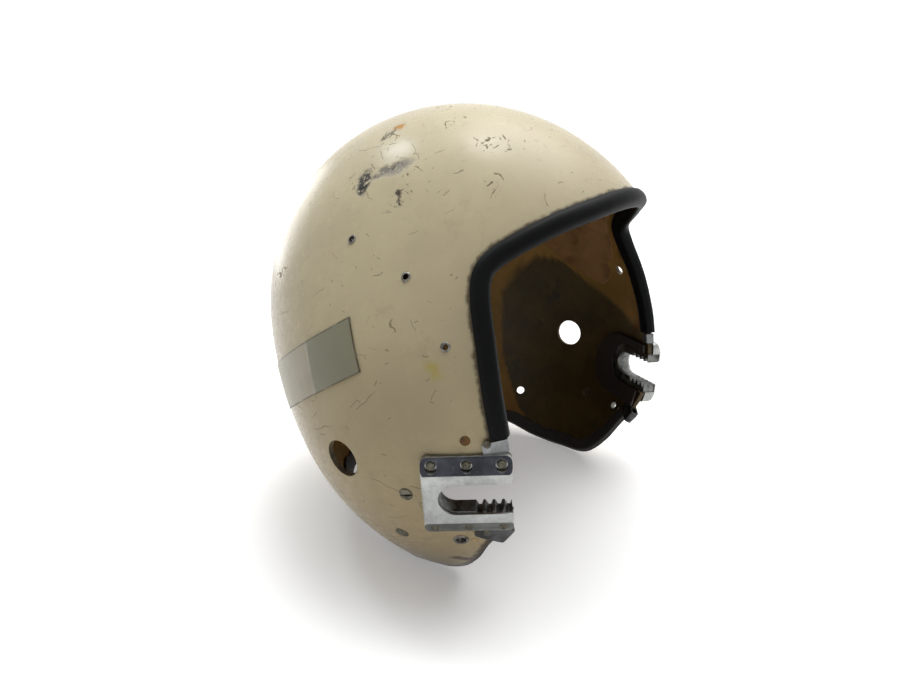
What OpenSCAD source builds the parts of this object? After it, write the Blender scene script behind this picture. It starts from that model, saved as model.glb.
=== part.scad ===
// Stripped open-face flying helmet: a painted fibreglass shell with a rubber
// roll round the face opening and a toothed mask receiver on each cheek.
// Millimetres. The face looks along -Y, up is +Z and X = 0 is the mirror plane.
// The wearer's right is -X. The origin lies on the ground under the middle of
// the helmet's box. Shapes are laid out about the skull centre, which lies
// above that point, and placed() moves them to the ground origin.

/* [Shell skin] */
// half width of the base ellipsoid, before the swell terms
skin_w = 111.3; // [100:0.1:125]
// half length of the base ellipsoid
skin_l = 126.1; // [115:0.1:140]
// half height of the base ellipsoid
skin_h = 131.5; // [120:0.1:145]
// thickness of the fibreglass wall, measured towards the skull centre
wall = 2.8; // [2:0.1:4]

/* [Skin swell] */
// swell of the upper back against the lower back
swell_yz = 0.145; // [0:0.001:0.25]
// swell of the back against the front
swell_yyy = 0.073; // [0:0.001:0.2]
// lift of the widest level, front and back
swell_yyz = 0.245; // [0:0.001:0.35]
// lean of the crown
swell_yzz = -0.04; // [-0.1:0.001:0.1]
// height of the crown against the depth of the base
swell_zzz = 0.054; // [0:0.001:0.2]
// narrowing of the sides behind the ears
swell_xxy = -0.03; // [-0.3:0.001:0.1]
// narrowing of the sides above the ears
swell_xxz = -0.079; // [-0.2:0.001:0.1]
// bulge over the ears
swell_xxxx = 0.107; // [0:0.001:0.3]
// bulge at the upper back of the sides
swell_xxyz = 0.037; // [0:0.001:0.2]
// fullness of the crown
swell_zzzz = 0.055; // [-0.05:0.001:0.1]
// fullness of the upper back and the brow
swell_yyzz = -0.017; // [-0.05:0.001:0.05]
// small flattening at the shoulders of the sides
swell_xxzz = -0.026; // [-0.05:0.001:0.05]
// small flattening at brow and nape
swell_yyyy = 0.004; // [-0.05:0.001:0.05]
// fullness of the nape
nape_fill = 0.72; // [0:0.01:1]

/* [Edge roll and bindings] */
// reach of the rubber roll's outer leg over the paint
roll_reach = 6.5; // [5:0.5:14]
// reach of the roll's inner leg over the inner face
roll_inner_reach = 8.5; // [6:0.5:16]
// thickness of the rubber over the skin
roll_t = 2.3; // [1.5:0.1:4]
// how far the roll's round nose stands off the shell's edge
roll_nose = 2.8; // [2:0.1:6]
// thickness of the black band round the lower edge
band_t = 1.1; // [0.6:0.1:2]
// height of that band up the inner face
band_reach = 7; // [3:0.5:12]
// gap left between two pieces that lie face to face
seat_gap = 0.35; // [0.2:0.05:0.6]
// sheet thickness of the clips at the ends of the roll
clip_t = 1; // [0.6:0.1:2]
// how far the lower clip stands off the shell's edge, where the roll is lost
low_clip_nose = 5.5; // [0.4:0.1:7]

/* [Mask receivers] */
// length of a receiver from its closed end to its front tips
rec_len = 41.6; // [34:0.1:48]
// height of a receiver across both arms
rec_high = 42; // [34:0.1:48]
// height of a receiver's face over the skin
rec_lift = 5; // [4:0.1:7]
// turn of that face to the front against the skin, in degrees
rec_turn = -2.3; // [-6:0.1:6]
// lean of that face upwards against the skin, in degrees
rec_rise = 3.2; // [-6:0.1:6]
// upward slope of the arms, in degrees
rec_tip = 3.3; // [-8:0.1:8]
// height of the open slot at the outer face
slot_high = 16.6; // [12:0.1:20]
// height of the slot between the liner's tooth tips
liner_high = 15.4; // [11:0.1:19]
// metal behind the closed end of the slot
slot_back = 7.2; // [5:0.1:12]
// width of the sloping band along the top and the bottom
bevel_w = 7.8; // [5:0.1:10]
// depth of that slope at the outer edge
bevel_d = 3.8; // [2:0.1:6]
// depth of the outer lip in front of the toothed liner
lip_t = 1.6; // [1:0.1:3]
// depth of the liner's inner end below the outer face
liner_deep = 10.2; // [8:0.1:13]
// thickness of the liner's arms
liner_arm = 5; // [4:0.1:7]
// number of notches along each arm
tooth_count = 4; // [2:1:6]
// distance from one notch to the next
tooth_pitch = 4.45; // [3:0.05:6]
// depth of a notch
tooth_deep = 2.6; // [1.5:0.1:3.5]
// diameter of the rivets through the receiver
rec_rivet_d = 4.2; // [3:0.1:5]
// distance between those rivets
rec_rivet_step = 16; // [12:0.5:18]
// thickness of the dark plate on the inside of the wall
plate_t = 1.3; // [0.8:0.1:2]

/* [Holes and fasteners] */
// diameter of the large hole over each ear
ear_hole_d = 19; // [14:0.5:26]
// bore of the small visor eyelets
eyelet_bore = 2.9; // [2:0.1:4]
// flange diameter of the small visor eyelets
eyelet_flange = 4.9; // [4:0.1:8]
// bare hole at the left front, where the eyelet is lost
bare_hole_d = 6.6; // [5:0.1:9]
// bore of the eyelet below each receiver
strap_bore = 5; // [3:0.1:7]
// flange diameter of that eyelet
strap_flange = 8; // [6:0.1:11]
// plain hole low at the back of each side
nape_hole_d = 6; // [4:0.1:9]
// head diameter of the slotted screws
screw_head = 6.6; // [5:0.1:9]
// diameter of the flush studs low on the sides
stud_d = 7; // [5:0.1:9]
// diameter of the filled hole above each receiver
plug_d = 4.6; // [3:0.1:6]
// diameter of the small flush rivet beside the lower eyelet
cheek_rivet_d = 3.8; // [3:0.1:6]
// width of the tape strip on the right rear
tape_w = 26; // [18:1:36]
// length of the tape strip
tape_l = 96; // [50:1:120]

/* [Hidden] */
$fn = 48;

// skull centre above the ground, and behind the middle of the box
skull_up = 95.994;
skull_back = -25.146;
RIGHT = -1;
LEFT = 1;

// colours
cream = [0.80, 0.77, 0.66];
rubber = [0.07, 0.07, 0.075];
resin = [0.24, 0.18, 0.11];
steel = [0.72, 0.73, 0.74];
dull_steel = [0.48, 0.48, 0.46];
brass = [0.55, 0.42, 0.22];

// directions are given round a pole that leans back from the crown: phi turns
// from the brow (0) over the right cheek (90) to the nape (180), and theta
// opens from the pole
pole = [0, sin(45), sin(45)];
brow_way = [0, -sin(45), sin(45)];
function way(phi, theta) =
    cos(theta) * pole + sin(theta) * (cos(phi) * brow_way + sin(phi) * [-1, 0, 0]);

// distance from the skull centre to the painted skin along the unit vector d
function skin(d) = let (x = d[0], y = d[1], z = d[2])
    pow(x * x / skin_w / skin_w + y * y / skin_l / skin_l + z * z / skin_h / skin_h, -0.5)
    * (1 + swell_yz * y * z + swell_yyy * pow(y, 3) + swell_yyz * y * y * z
        + swell_yzz * y * z * z + swell_zzz * pow(z, 3) + swell_xxy * x * x * y
        + swell_xxz * x * x * z + swell_xxxx * pow(x, 4) + swell_xxyz * x * x * y * z
        + swell_zzzz * pow(z, 4) + swell_xxzz * x * x * z * z + swell_yyyy * pow(y, 4)
        + swell_yyzz * y * y * z * z
        + nape_fill * pow(max(0, y) * max(0, -z), 2) * (1 - x * x));
function unit(v) = v / norm(v);
function on_way(d, lift = 0) = d * (skin(d) + lift);
function drop(p, lift = 0) = on_way(unit(p), lift);
function level(p) = norm(p) - skin(unit(p));
function skin_normal(p, h = 0.5) = unit([
    for (a = [0 : 2])
        let (s = [a == 0 ? h : 0, a == 1 ? h : 0, a == 2 ? h : 0])
            level(p + s) - level(p - s)]);
// the skin's half width at a place seen from the side, found by halving
function half_width(y, z, low = 1, high = 2 * skin_w, n = 24) =
    n == 0 ? (low + high) / 2
    : let (mid = (low + high) / 2)
        level([mid, y, z]) > 0 ? half_width(y, z, low, mid, n - 1)
        : half_width(y, z, mid, high, n - 1);

// the shell's edge, from the middle of the brow (0) to the middle of the nape
// (last), as [phi, theta] of each knot of a smooth curve
EDGE = [
    [0, 86.9], [11.9, 86.5], [22.9, 85.2], [31.9, 84.3], [37.4, 84.1], [41.3, 85.4],
    [44.8, 89.9], [48.9, 97.7], [53.6, 106.5], [58.7, 116.2], [65.5, 127.9],
    [72.4, 133.2], [79.6, 135.5], [89.4, 136.6], [101.5, 138.6], [113.5, 137.6],
    [122.5, 129.4], [129.6, 120.6], [134.4, 111.8], [140, 104.8], [150, 98], [163, 93.3],
    [180, 90.5]];
last = len(EDGE) - 1;
function knot(i) = i < 0 ? [-EDGE[-i][0], EDGE[-i][1]]
    : i > 2 * last ? [360 + EDGE[i - 2 * last][0], EDGE[i - 2 * last][1]]
    : i > last ? [360 - EDGE[2 * last - i][0], EDGE[2 * last - i][1]] : EDGE[i];
function smooth(a, b, c, d, f) =
    0.5 * (2 * b + (c - a) * f + (2 * a - 5 * b + 4 * c - d) * f * f
        + (3 * b - a - 3 * c + d) * f * f * f);
function edge_turn(t) = let (i = floor(t), f = t - i)
    smooth(knot(i - 1), knot(i), knot(i + 1), knot(i + 2), f);
function edge_point(t) = let (k = edge_turn(t)) on_way(way(k[0], k[1]));
// across the edge and out of the shell, in the skin's plane
function edge_across(t) = let (p = edge_point(t),
        along = unit(edge_point(t + 0.1) - edge_point(t - 0.1)),
        out = unit(cross(along, skin_normal(p))))
    out * pole > 0 ? -out : out;
// a point at reach past the edge (minus: back over the shell) and lift off the skin
function at_edge(t, reach, lift) = drop(edge_point(t) + reach * edge_across(t), lift);

// stretches of the edge, counted in knots
edge_step = 0.5;
roll_end = 8.94;
clip_start = 8.99;
clip_end = 9.22;
low_clip_start = 11.95;
low_clip_end = 12.6;
band_start = 12.65;

// the receiver's seat on the skin, and its own frame: x along the arms to the
// front, y up, z out of the face
REC_AT = [-64.1, -25.9];
rec_seat = [-half_width(REC_AT[0], REC_AT[1]), REC_AT[0], REC_AT[1]];
rec_out = skin_normal(rec_seat);
rec_level = unit(cross([0, 0, 1], rec_out));
rec_z = unit(rec_out + tan(rec_turn) * rec_level + tan(rec_rise) * cross(rec_out, rec_level));
rec_flat = unit(rec_level - (rec_level * rec_z) * rec_z);
rec_x = cos(rec_tip) * rec_flat + sin(rec_tip) * cross(rec_z, rec_flat);
rec_y = cross(rec_z, rec_x);
rec_at = rec_seat + rec_lift * rec_z;
function in_receiver(p) = let (q = p - rec_at) [q * rec_x, q * rec_y, q * rec_z];
// a ball that the skin follows closely behind the receiver, from how far the
// skin falls away at the ends of both arms
ball_span = (rec_len + rec_high) / 4;
function skin_fall(v) = let (q = rec_seat + ball_span * v) level(q) * (unit(q) * rec_out);
ball_drop = (skin_fall(rec_x) + skin_fall(-rec_x) + skin_fall(rec_y) + skin_fall(-rec_y)) / 4;
ball_r = (ball_span * ball_span + ball_drop * ball_drop) / (2 * ball_drop);
ball_centre = rec_seat - ball_r * rec_out;
ball_at = in_receiver(ball_centre);
ball_fit = 0.75;
// the dark plate lies inside that ball, sunk until its rear edge clears the wall
plate_back = 13.5;
plate_rise = 21.5;
plate_low = 2.6;
plate_rear = ball_centre + (ball_r - wall - seat_gap) * unit(
    rec_seat - (plate_back + plate_rise) * rec_x - plate_low * rec_y - ball_centre);
plate_fit = 2 * seat_gap + max(0, level(plate_rear) + wall);
slot_r = slot_high / 2;
slot_round_x = -rec_len / 2 + slot_back + slot_r;
liner_r = slot_r + liner_arm;
tooth_first = 5.4;
front = 1.5 * rec_len;

// places seen from the side, as [y, z] about the skull centre
VISOR_AT = [[14.5, 81.8], [-23.1, 69], [-49.5, 42]];
EAR_AT = [-3.5, -19.2];
STRAP_AT = [-56.2, -58.4];
NAPE_HOLE_AT = [25, -67.8];
SCREW_AT = [-38.2, -29.3];
STUD_AT = [-28.1, -59.6];
PLUG_AT = [-63.3, 1.5];
CHEEK_RIVET_AT = [-61.6, -58.8];
UPPER_CLIP_RIVET_AT = [-71, 0.4];
LOWER_CLIP_RIVET_AT = [-67.4, -50.9];
TAPE_AT = [-6.8, 38];
tape_fall = 31.5;

module placed() {
    translate([0, skull_back, skull_up]) children();
}

module to_side(side) {
    if (side == LEFT) mirror([1, 0, 0]) children();
    else children();
}

// turns a child's z to the axis out and its x to the axis along
module on_frame(at, along, out) {
    across = cross(out, along);
    multmatrix([
        [along[0], across[0], out[0], at[0]],
        [along[1], across[1], out[1], at[1]],
        [along[2], across[2], out[2], at[2]],
        [0, 0, 0, 1]]) children();
}

// stands a child on the right side's skin, z along the skin's normal
module on_skin(place, turn = 0) {
    p = [-half_width(place[0], place[1]), place[0], place[1]];
    out = skin_normal(p);
    along = unit(cross([0, 0, 1], out));
    on_frame(p, along, out) rotate([0, 0, turn]) children();
}

module at_receiver() {
    on_frame(rec_at, rec_x, rec_z) children();
}

module rod(r, from, to) {
    translate([0, 0, from]) cylinder(r = r, h = to - from);
}

// joins sections into a closed solid. A section is a list of [outer, inner]
// pairs of points that runs across the piece.
module swept(sections) {
    k = len(sections[0]);
    n = len(sections);
    function outer(i, j) = 2 * (i * k + j);
    function inner(i, j) = outer(i, j) + 1;
    function quad(a, b, c, d) = [[a, b, c], [a, c, d]];
    skins = [for (i = [0 : n - 2]) for (j = [0 : k - 2]) for (f = concat(
        quad(outer(i, j), outer(i, j + 1), outer(i + 1, j + 1), outer(i + 1, j)),
        quad(inner(i, j), inner(i + 1, j), inner(i + 1, j + 1), inner(i, j + 1)))) f];
    rims = [for (i = [0 : n - 2]) for (f = concat(
        quad(outer(i, 0), outer(i + 1, 0), inner(i + 1, 0), inner(i, 0)),
        quad(outer(i, k - 1), inner(i, k - 1), inner(i + 1, k - 1), outer(i + 1, k - 1)))) f];
    ends = [for (j = [0 : k - 2]) for (f = concat(
        quad(outer(0, j), inner(0, j), inner(0, j + 1), outer(0, j + 1)),
        quad(outer(n - 1, j), outer(n - 1, j + 1), inner(n - 1, j + 1), inner(n - 1, j)))) f];
    polyhedron([for (s = sections) for (q = s) for (p = q) p],
        concat(skins, rims, ends), convexity = 10);
}

// a section of pairs of [reach, lift] swept along the edge from t0 to t1
module along_edge(section, t0, t1, steps) {
    swept([for (i = [0 : steps])
        let (t = t0 + (t1 - t0) * i / steps)
            [for (q = section) [for (e = q) at_edge(t, e[0], e[1])]]]);
}

// ---- shell ---------------------------------------------------------------

shell_rows = 15;
row_bunch = 1.45;

// the whole skin from the pole to the edge, outside and inside
module shell_wall() {
    turns = [for (t = [0 : edge_step : 2 * last - edge_step / 2]) edge_turn(t)];
    n = len(turns);
    // rows bunch up towards the edge, where parts clip over the wall
    rows = [for (j = [1 : shell_rows]) 1 - pow(1 - j / shell_rows, row_bunch)];
    function row(j, lift) = [for (k = turns) on_way(way(k[0], k[1] * rows[j]), lift)];
    outer = [for (j = [0 : shell_rows - 1]) for (p = row(j, 0)) p];
    inner = [for (j = [0 : shell_rows - 1]) for (p = row(j, -wall)) p];
    half = shell_rows * n;
    tops = [on_way(pole), on_way(pole, -wall)];
    function quad(a, b, c, d) = [[a, b, c], [a, c, d]];
    faces = [for (i = [0 : n - 1]) let (k = (i + 1) % n) for (f = concat(
        [[2 * half, i, k], [2 * half + 1, half + k, half + i]],
        [for (j = [0 : shell_rows - 2])
            for (g = quad(j * n + i, (j + 1) * n + i, (j + 1) * n + k, j * n + k)) g],
        [for (j = [0 : shell_rows - 2])
            for (g = quad(half + j * n + k, half + (j + 1) * n + k,
                half + (j + 1) * n + i, half + j * n + i)) g],
        quad(half - n + i, 2 * half - n + i, 2 * half - n + k, half - n + k))) f];
    polyhedron(concat(outer, inner, tops), faces, convexity = 6);
}

// every bore on one side; the left front hole has lost its eyelet
module side_bores(side) {
    reach = 3 * wall;
    for (i = [0 : 2])
        on_skin(VISOR_AT[i])
            rod(side == LEFT && i == 2 ? bare_hole_d / 2 : eyelet_bore / 2 + 0.8, -reach, reach);
    on_skin(EAR_AT) rod(ear_hole_d / 2, -reach, reach);
    on_skin(STRAP_AT) rod(strap_bore / 2 + 0.8, -reach, reach);
    on_skin(NAPE_HOLE_AT) rod(nape_hole_d / 2, -reach, reach);
    on_skin(SCREW_AT) rod(2.1, -reach, reach);
    on_skin(STUD_AT) rod(stud_d / 2 + 0.1, -reach, reach);
    on_skin(PLUG_AT) rod(plug_d / 2 + 0.1, -reach, reach);
    on_skin(CHEEK_RIVET_AT) rod(cheek_rivet_d / 2 + 0.1, -reach, reach);
    at_receiver() slot_prism(liner_r + 0.3, -20, 4);
}

module shell() {
    color(cream) placed() difference() {
        shell_wall();
        side_bores(RIGHT);
        mirror([1, 0, 0]) side_bores(LEFT);
    }
}

// ---- edge roll, lower band, lining and tape --------------------------------

// what is clipped on keeps seat_gap to the wall on its three sides; corner_cut
// breaks its two inner corners
corner_cut = 0.4;

function roll_section() = let (g = seat_gap, t = roll_t, c = corner_cut, deep = -wall - seat_gap) [
    [[-roll_reach, g + 0.45 * t], [-roll_reach, g]],
    [[-roll_reach + 1.4, g + 0.9 * t], [-roll_reach + 1.4, g]],
    [[-roll_reach / 2, g + 1.05 * t], [-roll_reach / 2, g]],
    [[0.2 * roll_nose, g + t], [g - c, g]],
    [[0.75 * roll_nose, g + 0.4 * t], [g, g - c]],
    [[roll_nose, -0.5 * wall], [g, -0.5 * wall]],
    [[0.75 * roll_nose, deep - 0.4 * t], [g, deep + c]],
    [[0.2 * roll_nose, deep - t], [g - c, deep]],
    [[-roll_reach / 2, deep - 1.05 * t], [-roll_reach / 2, deep]],
    [[-roll_inner_reach + 1.4, deep - 0.9 * t], [-roll_inner_reach + 1.4, deep]],
    [[-roll_inner_reach, deep - 0.45 * t], [-roll_inner_reach, deep]]];

module face_edge_roll() {
    color(rubber) placed()
        along_edge(roll_section(), -roll_end, roll_end, round(2 * roll_end / edge_step));
}

function band_section() = let (g = seat_gap, out = seat_gap + band_t, deep = -wall - seat_gap) [
    [[out, -0.1], [g, -0.1]], [[out, deep - band_t], [g, deep]],
    [[-band_reach, deep - band_t], [-band_reach, deep]]];

module lower_rim_band() {
    span = 2 * (last - band_start);
    color(rubber) placed()
        along_edge(band_section(), band_start, band_start + span, round(span / edge_step));
}

lining_t = 0.8;
lining_turn = 75.5;
lining_top = 62;

// lower border of the lining: clear of the roll's leg at the brow and of the
// front holes, then a round lobe down each temple
function ease(a, from, to) = let (f = min(1, max(0, (a - from) / (to - from)))) f * f * (3 - 2 * f);
function lining_low(phi) = let (a = abs(phi))
    78.8 + 9 * ease(a, 41, 55) + 4.5 * ease(a, 59, 63)
    - 17 * (1 - cos(90 * max(0, a - 68) / (lining_turn - 68)));

module brow_lining() {
    turns = [for (i = [-22 : 22]) lining_turn * i / 22];
    rows = 6;
    function spot(phi, j, lift) =
        on_way(way(phi, lining_top + (lining_low(phi) - lining_top) * j / rows), lift);
    top = -wall - seat_gap;
    color(resin) placed() swept([for (phi = turns)
        [for (j = [0 : rows]) [spot(phi, j, top), spot(phi, j, top - lining_t)]]]);
}

module rear_tape() {
    run = 12;
    half = tape_w / 2;
    low = 0.3;
    function spot(s, w, lift) = let (
            y = TAPE_AT[0] + s * cos(tape_fall) + w * sin(tape_fall),
            z = TAPE_AT[1] - s * sin(tape_fall) + w * cos(tape_fall))
        drop([-half_width(y, z), y, z], lift);
    color([0.55, 0.55, 0.48]) placed() swept([for (i = [0 : run])
        let (s = tape_l * i / run)
            [for (j = [-2 : 2]) [spot(s, j * half / 2, low), spot(s, j * half / 2, low + 0.3)]]]);
}

// ---- receivers --------------------------------------------------------------

// a slot along the arms with a round closed end, open past the front
module slot_prism(r, from, to) {
    translate([slot_round_x, 0, from]) {
        cylinder(r = r, h = to - from);
        translate([0, -r, 0]) cube([front, 2 * r, to - from]);
    }
}

function corner(x, y, r, a0) =
    [for (a = [0 : 15 : 90]) [x + r * cos(a0 + a), y + r * sin(a0 + a)]];
function round_box(w, h, r) = concat(
    corner(w / 2 - r, h / 2 - r, r, 0), corner(-w / 2 + r, h / 2 - r, r, 90),
    corner(-w / 2 + r, -h / 2 + r, r, 180), corner(w / 2 - r, -h / 2 + r, r, 270));

rec_depth = 14;
rec_corner = 3;
rivet_row = rec_high / 2 - bevel_w / 2 - 0.2;

module receiver_body() {
    difference() {
        intersection() {
            translate([0, 0, -rec_depth])
                linear_extrude(rec_depth) polygon(round_box(rec_len, rec_high, rec_corner));
            // sloping bands along the top and the bottom
            rotate([90, 0, 90]) translate([0, 0, -rec_len]) linear_extrude(2 * rec_len) polygon([
                [-rec_high / 2 - 1, -rec_depth - 1], [rec_high / 2 + 1, -rec_depth - 1],
                [rec_high / 2 + 1, -bevel_d - bevel_d / bevel_w], [rec_high / 2 - bevel_w, 0],
                [-rec_high / 2 + bevel_w, 0], [-rec_high / 2 - 1, -bevel_d - bevel_d / bevel_w]]);
            // a softer edge down both ends
            rotate([90, 0, 0]) translate([0, 0, -rec_high]) linear_extrude(2 * rec_high) polygon([
                [-rec_len, -rec_depth - 1], [rec_len, -rec_depth - 1], [rec_len / 2, -1.4],
                [rec_len / 2 - 0.4, -0.5], [rec_len / 2 - 1.4, 0], [-rec_len / 2 + 0.9, 0],
                [-rec_len / 2, -0.9]]);
        }
        slot_prism(slot_r, -rec_depth - 1, 1);
        slot_prism(liner_r + 0.15, -rec_depth - 1, -lip_t);
        translate(ball_at) sphere(r = ball_r + ball_fit, $fn = 96);
        for (i = [-1 : 1]) {
            translate([i * rec_rivet_step, rivet_row, 0]) rod(rec_rivet_d / 2 + 0.7, -3.4, 1);
            translate([i * rec_rivet_step, -rivet_row, 0]) rod(rec_rivet_d / 2 + 0.1, -2.4, 1);
        }
    }
}

module receiver(side) {
    color(steel) placed() to_side(side) at_receiver() receiver_body();
}

module tooth_liner(side) {
    color(dull_steel) placed() to_side(side) at_receiver() difference() {
        translate([slot_round_x, 0, -liner_deep]) {
            cylinder(r = liner_r, h = liner_deep - lip_t - 0.1);
            translate([0, -liner_r, 0])
                cube([rec_len / 2 - slot_round_x - 0.4, 2 * liner_r, liner_deep - lip_t - 0.1]);
        }
        slot_prism(liner_high / 2, -liner_deep - 1, 1);
        // notches in both arms, each with one steep and one sloping flank
        for (i = [0 : tooth_count - 1]) for (up = [-1, 1])
            translate([tooth_first + i * tooth_pitch, up * liner_high / 2, -liner_deep - 1])
                linear_extrude(liner_deep + 2) polygon([
                    [-0.42 * tooth_pitch, -up * 0.1], [-0.1 * tooth_pitch, up * tooth_deep],
                    [0.16 * tooth_pitch, up * tooth_deep], [0.36 * tooth_pitch, -up * 0.1]]);
    }
}

// a thin curved plate on the inner face, open where the liner comes through
module inner_plate(side) {
    color(resin) placed() to_side(side) at_receiver() difference() {
        intersection() {
            translate(ball_at) sphere(r = ball_r - wall - plate_fit, $fn = 96);
            translate([-plate_back, -plate_low, -40]) {
                cylinder(r = plate_rise, h = 45);
                translate([0, -plate_rise, 0]) cube([plate_back + 17, 2 * plate_rise, 45]);
            }
        }
        translate(ball_at) sphere(r = ball_r - wall - plate_fit - plate_t, $fn = 96);
        slot_prism(liner_r + 0.3, -60, 20);
    }
}

module rec_rivet(deep) {
    rod(rec_rivet_d / 2, -deep, -deep + 1.1);
    rod(rec_rivet_d / 2 - 0.6, -deep + 1, -deep + 1.35);
}

module upper_rivets(side) {
    color(dull_steel) placed() to_side(side) at_receiver() for (i = [-1 : 1])
        translate([i * rec_rivet_step, rivet_row, 0]) rec_rivet(3.35);
}

module lower_rivets(side) {
    color(dull_steel) placed() to_side(side) at_receiver() for (i = [-1 : 1])
        translate([i * rec_rivet_step, -rivet_row, 0]) rod(rec_rivet_d / 2, -2.35, -1.85);
}

// ---- clips at the ends of the roll -------------------------------------------

// a strip bent round the edge: over on the paint, under inside and nose past it
function clip_section(over, under, nose) = let (
        g = seat_gap, out = seat_gap + clip_t, c = corner_cut, deep = -wall - seat_gap) [
    [[-over, out], [-over, g]], [[nose, out], [nose - c, g]],
    [[nose + clip_t, g], [nose, g - c]], [[nose + clip_t, deep], [nose, deep + c]],
    [[nose, deep - clip_t], [nose - c, deep]], [[-under, deep - clip_t], [-under, deep]]];

module upper_clip(side) {
    color(steel) placed() to_side(side)
        along_edge(clip_section(11, 6, seat_gap), clip_start, clip_end, 2);
}

module lower_clip(side) {
    color(dull_steel) placed() to_side(side)
        along_edge(clip_section(12, 6, low_clip_nose), low_clip_start, low_clip_end, 3);
}

module clip_rivets(side) {
    top = seat_gap + clip_t + 0.05;
    color(dull_steel) placed() to_side(side) for (at = [UPPER_CLIP_RIVET_AT, LOWER_CLIP_RIVET_AT])
        on_skin(at) {
            rod(1.9, top, top + 0.6);
            rod(1.2, top + 0.5, top + 0.9);
        }
}

// ---- eyelets, studs and screws ------------------------------------------------

// a rolled eyelet: a flange on the paint and a tube through the wall
module eyelet(bore, flange) {
    difference() {
        union() {
            rod(flange / 2, 0.05, 0.55);
            rod(bore / 2 + 0.7, -wall - 0.5, 0.5);
        }
        rod(bore / 2, -2 * wall, wall);
    }
}

module visor_eyelets(side) {
    color(dull_steel) placed() to_side(side)
        for (i = [0 : side == LEFT ? 1 : 2]) on_skin(VISOR_AT[i]) eyelet(eyelet_bore, eyelet_flange);
}

module strap_eyelet(side) {
    color(dull_steel) placed() to_side(side) on_skin(STRAP_AT) eyelet(strap_bore, strap_flange);
}

module slotted_screw(side) {
    color(dull_steel) placed() to_side(side) on_skin(SCREW_AT, 14) difference() {
        union() {
            rod(screw_head / 2, 0.1, 0.7);
            rod(screw_head / 2 - 0.7, 0.6, 1);
            rod(1.9, -wall + 0.3, 0.2);
        }
        translate([-screw_head, -0.5, 0.35]) cube([2 * screw_head, 1, 2]);
    }
}

module nape_stud(side) {
    color(dull_steel) placed() to_side(side) on_skin(STUD_AT) rod(stud_d / 2, -wall + 0.2, 0.25);
}

module resin_plug(side) {
    color(brass) placed() to_side(side) on_skin(PLUG_AT) rod(plug_d / 2, -wall + 0.2, -0.25);
}

module cheek_rivet(side) {
    color(brass) placed() to_side(side) on_skin(CHEEK_RIVET_AT)
        difference() {
            rod(cheek_rivet_d / 2, -wall + 0.2, 0.15);
            rod(0.9, -0.6, 1);
        }
}

shell();
face_edge_roll();
lower_rim_band();
brow_lining();
rear_tape();
receiver(RIGHT);  // receiver_right
receiver(LEFT);  // receiver_left
tooth_liner(RIGHT);  // tooth_liner_right
tooth_liner(LEFT);  // tooth_liner_left
inner_plate(RIGHT);  // inner_plate_right
inner_plate(LEFT);  // inner_plate_left
upper_rivets(RIGHT);  // upper_rivets_right
upper_rivets(LEFT);  // upper_rivets_left
lower_rivets(RIGHT);  // lower_rivets_right
lower_rivets(LEFT);  // lower_rivets_left
upper_clip(RIGHT);  // upper_clip_right
upper_clip(LEFT);  // upper_clip_left
lower_clip(RIGHT);  // lower_clip_right
lower_clip(LEFT);  // lower_clip_left
clip_rivets(RIGHT);  // clip_rivets_right
clip_rivets(LEFT);  // clip_rivets_left
visor_eyelets(RIGHT);  // visor_eyelets_right
visor_eyelets(LEFT);  // visor_eyelets_left
strap_eyelet(RIGHT);  // strap_eyelet_right
strap_eyelet(LEFT);  // strap_eyelet_left
slotted_screw(RIGHT);  // slotted_screw_right
slotted_screw(LEFT);  // slotted_screw_left
nape_stud(RIGHT);  // nape_stud_right
nape_stud(LEFT);  // nape_stud_left
resin_plug(RIGHT);  // resin_plug_right
resin_plug(LEFT);  // resin_plug_left
cheek_rivet(RIGHT);  // cheek_rivet_right
cheek_rivet(LEFT);  // cheek_rivet_left
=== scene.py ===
"""Dressed model of a stripped open-face flying helmet shell.

Sizes are millimetres about the skull centre; Skin.to_frame turns them into the
metres of the shared frame. The face looks along -Y and the wearer's right is -X.
"""

import logging
import math
from dataclasses import dataclass, field
from enum import Enum
from typing import Iterable, Optional, Sequence

import bmesh
import bpy
import numpy as np
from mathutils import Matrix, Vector
from mathutils.kdtree import KDTree


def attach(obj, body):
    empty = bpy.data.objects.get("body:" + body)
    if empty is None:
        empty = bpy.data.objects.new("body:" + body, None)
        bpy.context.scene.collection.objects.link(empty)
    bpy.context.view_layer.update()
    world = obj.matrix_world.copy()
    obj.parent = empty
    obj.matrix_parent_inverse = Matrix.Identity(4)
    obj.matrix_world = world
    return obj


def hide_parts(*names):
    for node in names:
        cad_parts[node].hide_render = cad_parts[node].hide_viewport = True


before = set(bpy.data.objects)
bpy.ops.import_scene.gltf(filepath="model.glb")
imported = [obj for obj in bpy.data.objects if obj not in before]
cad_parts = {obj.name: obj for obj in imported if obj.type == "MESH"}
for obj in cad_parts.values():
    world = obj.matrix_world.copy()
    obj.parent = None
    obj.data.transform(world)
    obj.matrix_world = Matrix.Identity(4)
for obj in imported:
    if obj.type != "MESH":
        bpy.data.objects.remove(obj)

LOG = logging.getLogger("helmet")
MM = 0.001
BODY = "root"
Array = np.ndarray
Colour = tuple[float, float, float]


class Side(Enum):
    """The two sides of the helmet, with the sign of their X."""

    RIGHT = -1
    LEFT = 1

    @property
    def word(self) -> str:
        """The side's name as the pieces carry it."""
        return self.name.lower()


# ---- the helmet's form --------------------------------------------------------


def unit(v: Array) -> Array:
    """Scales vectors to length one.

    Args:
        v: One vector or an array of them, along the last axis.

    Returns:
        The same directions with length one.
    """
    return v / np.linalg.norm(v, axis=-1, keepdims=True)


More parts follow.
